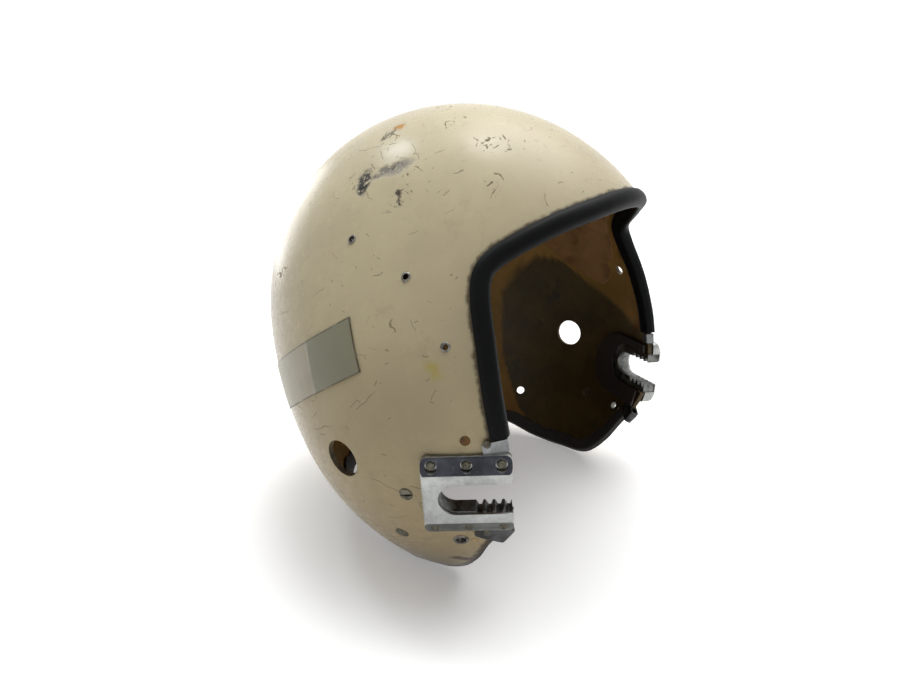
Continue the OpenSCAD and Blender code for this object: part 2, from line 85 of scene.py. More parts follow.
@dataclass(frozen=True)
class Skin:
    """The painted outer skin: a swollen ellipsoid about the skull centre."""

    half_width: float = 111.3
    half_length: float = 126.1
    half_height: float = 131.5
    wall: float = 2.8
    nape_fill: float = 0.72
    centre: tuple[float, float, float] = (0.0, -25.146, 95.994)

    def radius(self, d: Array) -> Array:
        """Distance from the skull centre to the skin.

        Args:
            d: Unit directions, shape (..., 3).

        Returns:
            Distances in millimetres, shape (...).
        """
        x, y, z = d[..., 0], d[..., 1], d[..., 2]
        scaled = (x / self.half_width) ** 2 + (y / self.half_length) ** 2 + (z / self.half_height) ** 2
        base = scaled**-0.5
        low_back = (np.maximum(y, 0) * np.maximum(-z, 0)) ** 2
        swell = (
            0.145 * y * z + 0.073 * y**3 + 0.245 * y * y * z - 0.04 * y * z * z + 0.054 * z**3
            - 0.03 * x * x * y - 0.079 * x * x * z + 0.107 * x**4 + 0.037 * x * x * y * z
            + 0.055 * z**4 - 0.017 * y * y * z * z - 0.026 * x * x * z * z + 0.004 * y**4
            + self.nape_fill * low_back * (1 - x * x)
        )
        return base * (1 + swell)

    def level(self, p: Array) -> Array:
        """Height of points above the skin, along the ray from the skull centre.

        Args:
            p: Points in millimetres, shape (..., 3).

        Returns:
            Heights, negative inside the skin.
        """
        r = np.linalg.norm(p, axis=-1)
        return r - self.radius(p / r[..., None])

    def normal(self, p: Array) -> Array:
        """Outward normals of the skin at points.

        Args:
            p: Points in millimetres, shape (..., 3).

        Returns:
            Unit normals of the same shape.
        """
        step = 0.5 * np.eye(3)
        return unit(np.stack([self.level(p + s) - self.level(p - s) for s in step], axis=-1))

    def on(self, d: Array, lift: float | Array = 0.0) -> Array:
        """Points over the skin along unit directions.

        Args:
            d: Unit directions, shape (..., 3).
            lift: Height over the skin.

        Returns:
            Points in millimetres.
        """
        return d * (self.radius(d) + lift)[..., None]

    def drop(self, p: Array, lift: float | Array = 0.0) -> Array:
        """Moves points along their rays to a height over the skin.

        Args:
            p: Points in millimetres.
            lift: Height over the skin.

        Returns:
            The moved points.
        """
        return self.on(unit(p), lift)

    def half_width_at(self, y: Array, z: Array) -> Array:
        """Half width of the skin at places seen from the side.

        Args:
            y: Places along Y in millimetres.
            z: Places along Z in millimetres.

        Returns:
            The distance from the mirror plane to the skin.
        """
        y, z = np.broadcast_arrays(np.asarray(y, float), np.asarray(z, float))
        low, high = np.ones(y.shape), np.full(y.shape, 200.0)
        for _ in range(36):
            mid = (low + high) / 2
            over = self.level(np.stack([mid, y, z], axis=-1)) > 0
            high, low = np.where(over, mid, high), np.where(over, low, mid)
        return (low + high) / 2

    def to_frame(self, p: Array) -> Array:
        """Turns millimetres about the skull centre into metres of the frame."""
        return (p + np.array(self.centre)) * MM


@dataclass(frozen=True)
class Spot:
    """A place on the skin with its own axes: along is level, out is the normal."""

    at: Array
    along: Array
    across: Array
    out: Array

    @staticmethod
    def on_skin(skin: Skin, y: float, z: float, side: Side) -> "Spot":
        """Finds the spot at a place seen from the side.

        Args:
            skin: The helmet's skin.
            y: Place along Y.
            z: Place along Z.
            side: Which side of the helmet.

        Returns:
            The spot with its axes.
        """
        at = np.array([side.value * float(skin.half_width_at(y, z)), y, z])
        out = skin.normal(at)
        along = unit(np.cross([0.0, 0.0, 1.0], out))
        return Spot(at, along, np.cross(out, along), out)

    def place(self, local: Array) -> Array:
        """Moves local points (along, across, out) to the spot.

        Args:
            local: Points in the spot's own axes.

        Returns:
            Points about the skull centre.
        """
        level = local[..., :1] * self.along + local[..., 1:2] * self.across
        return self.at + level + local[..., 2:3] * self.out


POLE = np.array([0.0, math.sin(math.pi / 4), math.sin(math.pi / 4)])
BROW_WAY = np.array([0.0, -math.sin(math.pi / 4), math.sin(math.pi / 4)])


def way(phi: Array, theta: Array) -> Array:
    """Directions round the pole that leans back from the crown.

    Args:
        phi: Turn from the brow over the right cheek to the nape, in degrees.
        theta: Angle from the pole, in degrees.

    Returns:
        Unit directions.
    """
    a, b = np.radians(np.asarray(phi, float)), np.radians(np.asarray(theta, float))
    a, b = np.broadcast_arrays(a, b)
    turned = np.cos(a)[..., None] * BROW_WAY + np.sin(a)[..., None] * np.array([-1.0, 0.0, 0.0])
    return np.cos(b)[..., None] * POLE + np.sin(b)[..., None] * turned


def turn_of(p: Array) -> tuple[Array, Array]:
    """The phi and theta of points, in degrees; phi is negative on the left.

    Args:
        p: Points about the skull centre.

    Returns:
        Arrays of phi and theta.
    """
    d = unit(p)
    return np.degrees(np.arctan2(-d[..., 0], d @ BROW_WAY)), np.degrees(np.arccos(np.clip(d @ POLE, -1, 1)))


@dataclass(frozen=True)
class Edge:
    """The shell's edge from the brow (0) to the nape (last) and back again."""

    skin: Skin
    knots: tuple[tuple[float, float], ...] = (
        (0, 86.9), (11.9, 86.5), (22.9, 85.2), (31.9, 84.3), (37.4, 84.1), (41.3, 85.4),
        (44.8, 89.9), (48.9, 97.7), (53.6, 106.5), (58.7, 116.2), (65.5, 127.9),
        (72.4, 133.2), (79.6, 135.5), (89.4, 136.6), (101.5, 138.6), (113.5, 137.6),
        (122.5, 129.4), (129.6, 120.6), (134.4, 111.8), (140, 104.8), (150, 98),
        (163, 93.3), (180, 90.5),
    )

    @property
    def last(self) -> int:
        """Number of the knot at the nape."""
        return len(self.knots) - 1

    def _knot(self, i: Array) -> Array:
        """The knots of the whole round, for any whole numbers."""
        table = [(-self.knots[-j][0], self.knots[-j][1]) for j in range(-3, 0)]
        table += list(self.knots)
        table += [(360 - self.knots[2 * self.last - j][0], self.knots[2 * self.last - j][1])
                  for j in range(self.last + 1, 2 * self.last + 1)]
        table += [(360 + self.knots[j][0], self.knots[j][1]) for j in range(1, 4)]
        return np.array(table)[np.asarray(i) + 3]

    def turn(self, t: Array) -> Array:
        """The smooth edge in polar form.

        Args:
            t: Places along the edge, counted in knots.

        Returns:
            Pairs of phi and theta, shape (..., 2).
        """
        t = np.asarray(t, float)
        i = np.floor(t).astype(int)
        f = (t - i)[..., None]
        a, b, c, d = (self._knot(i + j) for j in (-1, 0, 1, 2))
        return 0.5 * (2 * b + (c - a) * f + (2 * a - 5 * b + 4 * c - d) * f**2 + (3 * b - a - 3 * c + d) * f**3)

    def point(self, t: Array) -> Array:
        """Points of the edge on the skin."""
        k = self.turn(t)
        return self.skin.on(way(k[..., 0], k[..., 1]))

    def across(self, t: Array) -> Array:
        """Unit vectors in the skin's plane that point across the edge, out of the shell."""
        t = np.asarray(t, float)
        p = self.point(t)
        along = unit(self.point(t + 0.1) - self.point(t - 0.1))
        out = unit(np.cross(along, self.skin.normal(p)))
        return np.where((out @ POLE > 0)[..., None], -out, out)

    def at(self, t: Array, reach: Array, lift: Array) -> Array:
        """Points beside the edge.

        Args:
            t: Places along the edge.
            reach: Distance past the edge; minus is back over the shell.
            lift: Height over the skin.

        Returns:
            Points about the skull centre.
        """
        reach = np.asarray(reach, float)
        return self.skin.drop(self.point(t) + reach[..., None] * self.across(t), lift)


# ---- building meshes ------------------------------------------------------------


class Form:
    """A solid under construction, in millimetres about the skull centre."""

    def __init__(self) -> None:
        self.points: list[Array] = []
        self.faces: list[tuple[int, ...]] = []
        self.finishes: list[int] = []
        self.count = 0

    def add(self, points: Array, faces: Iterable[Sequence[int]], finish: int = 0) -> None:
        """Adds points and the faces between them.

        Args:
            points: Points, shape (n, 3).
            faces: Faces as indices into points.
            finish: Number of the material slot.
        """
        self.points.append(np.asarray(points, float))
        for face in faces:
            self.faces.append(tuple(i + self.count for i in face))
            self.finishes.append(finish)
        self.count += len(points)

    def sweep(self, rings: Array, closed: bool = False, finish: int = 0) -> None:
        """Adds a solid that joins rings of points.

        Args:
            rings: Points, shape (rings, points, 3).
            closed: True if the last ring meets the first.
            finish: Number of the material slot.
        """
        n, m = rings.shape[:2]
        spans = n if closed else n - 1
        faces: list[Sequence[int]] = [
            (i * m + j, i * m + (j + 1) % m, ((i + 1) % n) * m + (j + 1) % m, ((i + 1) % n) * m + j)
            for i in range(spans) for j in range(m)
        ]
        if not closed:
            faces += [tuple(range(m - 1, -1, -1)), tuple(range((n - 1) * m, n * m))]
        self.add(rings.reshape(-1, 3), faces, finish)

    def lathe(self, spot: Spot, profile: Sequence[tuple[float, float]], sides: int = 40, finish: int = 0) -> None:
        """Adds a turned solid on a spot.

        Args:
            spot: Where it stands.
            profile: Pairs of radius and height; a radius of 0 closes an end.
            sides: Facets round it.
            finish: Number of the material slot.
        """
        angles = np.linspace(0, 2 * math.pi, sides, endpoint=False)
        ring = np.stack([np.cos(angles), np.sin(angles)], axis=-1)
        points: list[Array] = []
        rows: list[list[int]] = []
        for r, h in profile:
            first = len(points)
            if r == 0:
                points.append(np.array([0, 0, h]))
                rows.append([first] * sides)
            else:
                points += [np.array([r * c, r * s, h]) for c, s in ring]
                rows.append(list(range(first, first + sides)))
        faces = []
        pairs = list(zip(rows, rows[1:]))
        if profile[0][0] != 0 and profile[-1][0] != 0:
            pairs.append((rows[-1], rows[0]))
        for low, high in pairs:
            for j in range(sides):
                k = (j + 1) % sides
                face = [low[j], low[k], high[k], high[j]]
                face = [v for i, v in enumerate(face) if v != face[i - 1]]
                if len(face) > 2:
                    faces.append(face)
        self.add(spot.place(np.array(points)), faces, finish)

    def piece(self, name: str, skin: Skin, materials: Sequence[bpy.types.Material],
              sharp_deg: float = 35.0) -> bpy.types.Object:
        """Makes the Blender object, faces outward, in the shared frame.

        Args:
            name: The object's name.
            skin: Gives the way into the frame.
            materials: One material for each finish number.
            sharp_deg: Edges over this angle stay sharp.

        Returns:
            The new object.
        """
        mesh = bpy.data.meshes.new(name)
        mesh.from_pydata(skin.to_frame(np.concatenate(self.points)).tolist(), [], self.faces)
        mesh.polygons.foreach_set("material_index", np.array(self.finishes, np.int32))
        for m in materials:
            mesh.materials.append(m)
        bm = bmesh.new()
        bm.from_mesh(mesh)
        bmesh.ops.recalc_face_normals(bm, faces=bm.faces)
        bm.to_mesh(mesh)
        bm.free()
        shade(mesh, sharp_deg)
        return show(name, mesh)


def shade(mesh: bpy.types.Mesh, sharp_deg: float) -> None:
    """Shades a mesh smooth, with sharp edges over an angle.

    Args:
        mesh: The mesh.
        sharp_deg: The angle in degrees.
    """
    mesh.shade_smooth()
    mesh.set_sharp_from_angle(angle=math.radians(sharp_deg))


def show(name: str, mesh: bpy.types.Mesh) -> bpy.types.Object:
    """Puts a mesh into the scene under a name and returns its object."""
    obj = bpy.data.objects.new(name, mesh)
    bpy.context.scene.collection.objects.link(obj)
    return obj


def drop_object(obj: bpy.types.Object) -> None:
    """Takes a helper object out of the file."""
    bpy.data.objects.remove(obj, do_unlink=True)


def baked(obj: bpy.types.Object) -> bpy.types.Object:
    """Replaces an object's mesh by its evaluated mesh and drops its modifiers.

    Args:
        obj: An object with modifiers.

    Returns:
        The same object with a plain mesh.
    """
    graph = bpy.context.evaluated_depsgraph_get()
    done = obj.evaluated_get(graph)
    mesh = bpy.data.meshes.new_from_object(done, preserve_all_data_layers=True, depsgraph=graph)
    obj.modifiers.clear()
    obj.data = mesh
    mesh.name = obj.name
    return obj


def carve(obj: bpy.types.Object, cutters: Sequence[bpy.types.Object]) -> None:
    """Cuts solids out of an object and removes them.

    Args:
        obj: The object to cut.
        cutters: The solids to take away.
    """
    for cutter in cutters:
        mod = obj.modifiers.new("cut", "BOOLEAN")
        mod.operation, mod.solver, mod.object = "DIFFERENCE", "EXACT", cutter
    bpy.context.view_layer.update()
    baked(obj)
    for cutter in cutters:
        drop_object(cutter)


def ease(a: Array, start: float, end: float) -> Array:
    """A smooth step from 0 at start to 1 at end."""
    f = np.clip((np.asarray(a, float) - start) / (end - start), 0, 1)
    return f * f * (3 - 2 * f)


def ripple(p: Array, length: float, seed: int, layers: int = 5) -> Array:
    """A smooth, even wobble made of plane waves.

    Args:
        p: Points in millimetres.
        length: Rough wave length.
        seed: Fixes the waves' directions.
        layers: Number of waves.

    Returns:
        Values between about -1 and 1.
    """
    rng = np.random.default_rng(seed)
    total = np.zeros(p.shape[:-1])
    for _ in range(layers):
        direction = unit(rng.normal(size=3))
        total += np.sin(p @ direction * 2 * math.pi / (length * rng.uniform(0.6, 1.7)) + rng.uniform(0, 6.3))
    return total / layers


# ---- materials ------------------------------------------------------------------


def srgb(r: float, g: float, b: float) -> tuple[float, float, float, float]:
    """Turns a colour as seen on a screen (0 to 255) into linear values with alpha."""
    def line(c: float) -> float:
        c /= 255
        return c / 12.92 if c <= 0.04045 else ((c + 0.055) / 1.055) ** 2.4
    return line(r), line(g), line(b), 1.0


class Graph:
    """Short calls for building one shader tree."""

    def __init__(self, name: str) -> None:
        self.material = bpy.data.materials.new(name)
        self.material.use_nodes = True
        self.tree = self.material.node_tree
        self.tree.nodes.clear()
        self.out = self.node("ShaderNodeOutputMaterial")
        self.bsdf = self.node("ShaderNodeBsdfPrincipled")
        self.tree.links.new(self.bsdf.outputs[0], self.out.inputs[0])
        self.coords = self.node("ShaderNodeTexCoord").outputs["Object"]

    def node(self, kind: str, **settings: object) -> bpy.types.Node:
        """Adds a node and sets its properties."""
        made = self.tree.nodes.new(kind)
        for key, value in settings.items():
            setattr(made, key, value)
        return made

    def put(self, socket: bpy.types.NodeSocket, value: object) -> None:
        """Links a socket or sets its constant value."""
        if isinstance(value, bpy.types.NodeSocket):
            self.tree.links.new(value, socket)
        else:
            socket.default_value = value

    def surface(self, **values: object) -> None:
        """Sets inputs of the surface shader; underscores stand for spaces."""
        for key, value in values.items():
            self.put(self.bsdf.inputs[key.replace("_", " ")], value)

    def math(self, op: str, a: object, b: object = 0.0, clamp: bool = False) -> bpy.types.NodeSocket:
        """One math node."""
        made = self.node("ShaderNodeMath", operation=op, use_clamp=clamp)
        self.put(made.inputs[0], a)
        self.put(made.inputs[1], b)
        return made.outputs[0]

    def vector(self, op: str, a: object, b: object = (0.0, 0.0, 0.0)) -> bpy.types.NodeSocket:
        """One vector math node; gives its value output for lengths and dots."""
        made = self.node("ShaderNodeVectorMath", operation=op)
        self.put(made.inputs[0], a)
        if op == "SCALE":
            self.put(made.inputs["Scale"], b)
        else:
            self.put(made.inputs[1], b)
        return made.outputs["Value" if op in ("DOT_PRODUCT", "LENGTH", "DISTANCE") else "Vector"]

    def mix(self, factor: object, a: object, b: object, blend: str = "MIX") -> bpy.types.NodeSocket:
        """Mixes two colours."""
        made = self.node("ShaderNodeMix", data_type="RGBA", blend_type=blend)
        self.put(made.inputs[0], factor)
        self.put(made.inputs[6], a)
        self.put(made.inputs[7], b)
        return made.outputs[2]

    def noise(self, scale: float, detail: float = 3.0, rough: float = 0.55,
              vector: object = None) -> bpy.types.NodeSocket:
        """Noise on the object's own coordinates; scale is in cycles per metre."""
        made = self.node("ShaderNodeTexNoise")
        self.put(made.inputs["Vector"], self.coords if vector is None else vector)
        self.put(made.inputs["Scale"], scale)
        self.put(made.inputs["Detail"], detail)
        self.put(made.inputs["Roughness"], rough)
        return made.outputs[0]

    def warped(self, amount_mm: float, scale: float) -> bpy.types.NodeSocket:
        """The coordinates moved about by noise."""
        made = self.node("ShaderNodeTexNoise")
        self.put(made.inputs["Vector"], self.coords)
        self.put(made.inputs["Scale"], scale)
        self.put(made.inputs["Detail"], 3.0)
        centred = self.vector("SUBTRACT", made.outputs[1], (0.5, 0.5, 0.5))
        return self.vector("ADD", self.coords, self.vector("SCALE", centred, 2 * amount_mm * MM))

    def band(self, value: object, low: float, high: float) -> bpy.types.NodeSocket:
        """Goes smoothly from 0 at low to 1 at high; high may be the lower one."""
        made = self.node("ShaderNodeMapRange", interpolation_type="SMOOTHSTEP")
        self.put(made.inputs["Value"], value)
        ends = (low, high, 0.0, 1.0) if low < high else (high, low, 1.0, 0.0)
        for key, end in zip(("From Min", "From Max", "To Min", "To Max"), ends):
            self.put(made.inputs[key], end)
        return made.outputs[0]

    def attribute(self, name: str) -> bpy.types.NodeSocket:
        """A number stored on the mesh."""
        return self.node("ShaderNodeAttribute", attribute_name=name).outputs["Fac"]

    def blot(self, at: Array, size: float, soft: float, coords: object,
             stretch: Optional[tuple[Array, float]] = None) -> bpy.types.NodeSocket:
        """A spot of wear round one point.

        Args:
            at: The point in metres.
            size: Radius in millimetres.
            soft: Width of the soft rim in millimetres.
            coords: Coordinates to use, usually warped.
            stretch: A unit vector and how many times longer the spot is along it.

        Returns:
            A mask socket.
        """
        away = self.vector("SUBTRACT", coords, tuple(float(c) for c in at))
        if stretch:
            line, times = stretch
            run = self.vector("DOT_PRODUCT", away, tuple(float(c) for c in line))
            back = self.node("ShaderNodeVectorMath", operation="SCALE")
            self.put(back.inputs[0], tuple(float(c) for c in line))
            self.put(back.inputs["Scale"], self.math("MULTIPLY", run, 1 - 1 / times))
            away = self.vector("SUBTRACT", away, back.outputs[0])
        return self.band(self.vector("LENGTH", away), (size + soft) * MM, max(size - soft, 0) * MM)

    def scratches(self, scale: float, width: float, length: float, share: float) -> bpy.types.NodeSocket:
        """Short straight scratches at random angles.

        Args:
            scale: Cells per metre.
            width: Half width as a share of a cell.
            length: Half length as a share of a cell.
            share: Share of the cells that have one.

        Returns:
            A mask socket.
        """
        cell = self.node("ShaderNodeTexVoronoi", feature="F1")
        bent = self.warped(2.6, 95)
        self.put(cell.inputs["Vector"], bent)
        self.put(cell.inputs["Scale"], scale)
        big = self.vector("SCALE", bent, scale)
        away = self.vector("SUBTRACT", big, self.vector("SCALE", cell.outputs["Position"], scale))
        angle = self.vector("NORMALIZE", self.vector("SUBTRACT", cell.outputs["Color"], (0.5, 0.5, 0.5)))
        off = self.math("ABSOLUTE", self.vector("DOT_PRODUCT", away, angle))
        line = self.band(off, width, width * 0.35)
        reach = self.band(self.vector("LENGTH", away), length, length * 0.7)
        parts = self.node("ShaderNodeSeparateColor")
        self.put(parts.inputs[0], cell.outputs["Color"])
        kept = self.math("LESS_THAN", parts.outputs[2], share)
        return self.math("MULTIPLY", self.math("MULTIPLY", line, reach), kept)

    def bump(self, height: object, depth_mm: float, base: object = None) -> bpy.types.NodeSocket:
        """A bump from a height mask."""
        made = self.node("ShaderNodeBump")
        self.put(made.inputs["Strength"], 1.0)
        self.put(made.inputs["Distance"], depth_mm * MM)
        self.put(made.inputs["Height"], height)
        if base is not None:
            self.put(made.inputs["Normal"], base)
        return made.outputs[0]


@dataclass(frozen=True)
class Mark:
    """One placed spot of wear on the paint, about the skull centre."""

    at: tuple[float, float, float]
    size: float
    soft: float
    colour: tuple[float, float, float]
    strength: float = 1.0
    stretch: Optional[tuple[tuple[float, float, float], float]] = None
    deep: bool = False


@dataclass(frozen=True)
class Scuff:
    """One round area full of fine scratches, about the skull centre."""

    at: tuple[float, float, float]
    radius: float


@dataclass(frozen=True)
class WornPaint:
    """Old cream enamel with yellowing, dirt, scratches and placed damage."""

    skin: Skin
    name: str = "worn_cream_enamel"
    fresh: Colour = (221, 209, 174)
    aged: Colour = (204, 192, 161)
    rosy: Colour = (208, 189, 164)
    dirt: Colour = (62, 46, 28)
    marks: tuple[Mark, ...] = (
        Mark((-71.9, 23.2, 108.0), 4.4, 1.6, (52, 51, 54), 0.95, ((0.35, 0.2, 0.9), 1.8), True),
        Mark((-75.1, 21.4, 104.4), 2.4, 1.2, (36, 35, 36), 0.9, ((0.35, 0.2, 0.9), 1.8), True),
        Mark((-68.3, 13.6, 112.6), 2.6, 1.6, (96, 96, 102), 0.75, ((0.6, -0.7, 0.35), 3.0), True),
        Mark((-65.3, 5.2, 115.3), 3.0, 2.2, (118, 118, 124), 0.7, ((0.6, -0.7, 0.35), 2.4), True),
        Mark((-74.9, -2.4, 103.5), 2.2, 0.9, (54, 48, 42), 0.95, None, True),
        Mark((-77.2, -5.3, 100.1), 1.0, 0.6, (48, 42, 36), 0.95, ((0.25, 0.25, 0.9), 3.4), True),
        Mark((-42.5, 25.2, 133.7), 3.6, 1.4, (196, 140, 62), 0.95, None, True),
        Mark((-48.6, 27.7, 129.5), 1.9, 1.2, (66, 60, 54), 0.85, ((0.8, -0.3, 0.5), 2.6), True),
        Mark((-105.2, -46.9, 32.2), 2.6, 2.6, (200, 182, 66), 0.55, ((0.3, -0.6, -0.6), 1.8)),
        Mark((-86.9, -50.6, -78.4), 2.7, 1.2, (82, 36, 22), 0.95, ((0.35, -0.9, -0.2), 2.8)),
    )
    scuffs: tuple[Scuff, ...] = (
        Scuff((-40.0, -34.0, 126.0), 13.0),
        Scuff((-64.2, 1.5, 115.8), 14.0),
        Scuff((-34.7, -5.8, 136.9), 12.0),
        Scuff((-55.7, -45.8, 109.0), 9.0),
        Scuff((-21.1, 14.4, 143.5), 10.0),
        Scuff((-70.0, 26.0, 109.0), 13.0),
        Scuff((-75.0, -4.0, 103.0), 10.0),
        Scuff((-48.0, 26.0, 130.0), 12.0),
        Scuff((-118.0, 20.0, 30.0), 16.0),
    )

    def build(self) -> bpy.types.Material:
        """Makes the material."""
        g = Graph(self.name)
        tone = g.band(g.noise(9, 3), 0.35, 0.7)
        colour = g.mix(tone, srgb(*self.aged), srgb(*self.fresh))
        blush = g.math("MULTIPLY", g.band(g.noise(5.5, 2, vector=g.warped(12, 7)), 0.5, 0.75), 0.55)
        colour = g.mix(blush, colour, srgb(*self.rosy))
        # the paint is mixed towards a darker, yellower colour towards the lower edge
        parts = g.node("ShaderNodeSeparateXYZ")
        g.put(parts.inputs[0], g.coords)
        low = g.math("MULTIPLY", g.band(parts.outputs[2], 0.15, 0.02), 0.5)
        colour = g.mix(low, colour, srgb(186, 166, 128))
        grime = g.math("MULTIPLY", g.band(g.noise(38, 6, 0.7), 0.56, 0.78), 0.32)
        colour = g.mix(grime, colour, srgb(150, 132, 100))
        # dirt gathers along the roll and the lower band
        gap = g.attribute("edge_gap")
        ragged = g.math("ADD", gap, g.math("MULTIPLY", g.math("SUBTRACT", g.noise(180, 4), 0.5), 4.0))
        rim = g.band(ragged, 9.0, 6.9)
        brow = g.attribute("brow")
        colour = g.mix(g.math("MULTIPLY", g.math("MULTIPLY", rim, brow), 0.85), colour, srgb(*self.dirt))
        foot = g.math("MULTIPLY", g.band(ragged, 4.4, 1.2), g.math("SUBTRACT", 1.0, brow))
        colour = g.mix(g.math("MULTIPLY", foot, 0.9), colour, srgb(56, 36, 24))
        fine = g.scratches(105, 0.026, 0.36, 0.42)
        long = g.scratches(46, 0.012, 0.44, 0.28)
        short = g.scratches(210, 0.06, 0.3, 0.16)
        worn = g.band(g.noise(14, 2), 0.44, 0.62)
        strong = g.math("MULTIPLY", g.math("MAXIMUM", long, short), 0.85)
        marks = g.math("MAXIMUM", g.math("MULTIPLY", fine, worn), strong)
        colour = g.mix(g.math("MULTIPLY", marks, 0.6), colour, srgb(92, 74, 52))
        red = g.math("MULTIPLY", g.scratches(70, 0.022, 0.4, 0.12), 0.4)
        colour = g.mix(red, colour, srgb(140, 90, 62))
        rubbed: object = 0.0
        for scuff in self.scuffs:
            at = self.skin.to_frame(self.skin.drop(np.array(scuff.at)))
            rubbed = g.math("MAXIMUM", rubbed, g.blot(at, scuff.radius * 0.6, scuff.radius * 0.5, g.coords))
        hairs = g.math("MAXIMUM", g.scratches(210, 0.085, 0.46, 0.5), g.scratches(120, 0.04, 0.5, 0.45))
        crumbs = g.band(g.noise(430, 4, 0.7), 0.6, 0.66)
        inside = g.band(g.math("ADD", rubbed, g.noise(70, 4)), 0.74, 0.98)
        hairs = g.math("MULTIPLY", g.math("MAXIMUM", hairs, crumbs), inside)
        colour = g.mix(g.math("MULTIPLY", hairs, 0.8), colour, srgb(98, 76, 50))
        marks = g.math("MAXIMUM", marks, hairs)
        pits = g.node("ShaderNodeTexVoronoi", feature="F1")
        g.put(pits.inputs["Vector"], g.coords)
        g.put(pits.inputs["Scale"], 150.0)
        peppered = g.band(g.noise(22, 3), 0.56, 0.64)
        speck = g.math("MULTIPLY", g.band(pits.outputs["Distance"], 0.12, 0.06), peppered)
        colour = g.mix(g.math("MULTIPLY", speck, 0.7), colour, srgb(110, 88, 60))
        rough_coords = g.warped(3.2, 170)
        height: object = g.math("MULTIPLY", g.math("MAXIMUM", marks, speck), -0.35)
        bare: object = 0.0
        for mark in self.marks:
            stretch = None
            if mark.stretch:
                stretch = (unit(np.array(mark.stretch[0])), mark.stretch[1])
            at = self.skin.to_frame(self.skin.drop(np.array(mark.at)))
            spot = g.blot(at, mark.size, mark.soft, rough_coords, stretch)
            broken = g.band(g.noise(420, 5, 0.7), 0.36, 0.5) if mark.deep else 1.0
            spot = g.math("MULTIPLY", g.math("MULTIPLY", spot, broken), mark.strength)
            colour = g.mix(spot, colour, srgb(*mark.colour))
            if mark.deep:
                height = g.math("SUBTRACT", height, spot)
                bare = g.math("MAXIMUM", bare, spot)
        shine = g.math("ADD", 0.2, g.math("MULTIPLY", g.noise(60, 5, 0.7), 0.14))
        shine = g.math("ADD", shine, g.math("MULTIPLY", g.math("MAXIMUM", bare, marks), 0.35))
        swell = g.bump(g.noise(26, 2), 0.35)
        g.surface(Base_Color=colour, Roughness=shine, Normal=g.bump(height, 0.25, swell))
        g.put(g.bsdf.inputs["Specular IOR Level"], 0.2)
        return g.material


@dataclass(frozen=True)
class InnerResin:
    """The bare resin inside, tan at the brow and dark round the ear pads."""

    name: str = "inner_resin"

    def build(self) -> bpy.types.Material:
        """Makes the material."""
        g = Graph(self.name)
        tone = g.band(g.noise(20, 5, 0.65), 0.35, 0.7)
        colour = g.mix(tone, srgb(140, 110, 52), srgb(168, 132, 72))
        dark = g.mix(g.band(g.noise(30, 4), 0.4, 0.7), srgb(56, 45, 17), srgb(78, 65, 32))
        colour = g.mix(g.attribute("pad"), colour, dark)
        blots = g.math("MULTIPLY", g.band(g.noise(46, 4, 0.7), 0.6, 0.72), 0.7)
        colour = g.mix(blots, colour, srgb(22, 15, 8))
        weave = g.math("ADD", g.noise(700, 3, 0.7), g.math("MULTIPLY", g.noise(90, 3), 0.6))
        g.surface(Base_Color=colour, Roughness=0.5, Normal=g.bump(weave, 0.12))
        return g.material


class Wear(Enum):
    """How the surface of a plain finish is broken up."""

    SMOOTH = "smooth"
    BRUSHED = "brushed"
    DULL = "dull"
    FABRIC = "fabric"


@dataclass(frozen=True)
class Finish:
    """One plain procedural finish."""

    name: str
    colour: Colour
    second: Colour
    rough: float
    metal: float = 0.0
    wear: Wear = Wear.SMOOTH
    grain: float = 120.0
    depth: float = 0.05
    shine: float = 0.5

    def build(self) -> bpy.types.Material:
        """Makes the material."""
        g = Graph(self.name)
        mottle = g.band(g.noise(self.grain, 5, 0.65), 0.35, 0.68)
        colour = g.mix(mottle, srgb(*self.colour), srgb(*self.second))
        rough: object = g.math("ADD", self.rough, g.math("MULTIPLY", g.noise(self.grain * 2.3, 4), 0.12))
        height: object = g.noise(self.grain * 3, 4, 0.6)
        if self.wear is Wear.BRUSHED:
            run = g.node("ShaderNodeMapping")
            g.put(run.inputs["Vector"], g.coords)
            g.put(run.inputs["Rotation"], (0.0, 0.0, math.radians(-55)))
            g.put(run.inputs["Scale"], (1.0, 1.0, 14.0))
            lines = g.noise(260, 4, 0.7, run.outputs[0])
            grooves = g.math("MULTIPLY", g.scratches(260, 0.05, 0.45, 0.5), -0.7)
            height = g.math("ADD", g.math("MULTIPLY", lines, 0.8), grooves)
            stain = g.math("MULTIPLY", g.band(g.noise(210, 5, 0.75), 0.55, 0.7), 0.5)
            colour = g.mix(stain, colour, srgb(98, 98, 98))
        elif self.wear is Wear.FABRIC:
            height = g.math("ADD", g.noise(1100, 2), g.math("MULTIPLY", g.noise(60, 4, 0.7), 1.6))
        elif self.wear is Wear.DULL:
            grime = g.math("MULTIPLY", g.band(g.noise(330, 4, 0.7), 0.52, 0.66), 0.7)
            colour = g.mix(grime, colour, srgb(44, 38, 30))
        g.surface(Base_Color=colour, Roughness=rough, Metallic=self.metal, Normal=g.bump(height, self.depth))
        g.put(g.bsdf.inputs["Specular IOR Level"], self.shine)
        return g.material


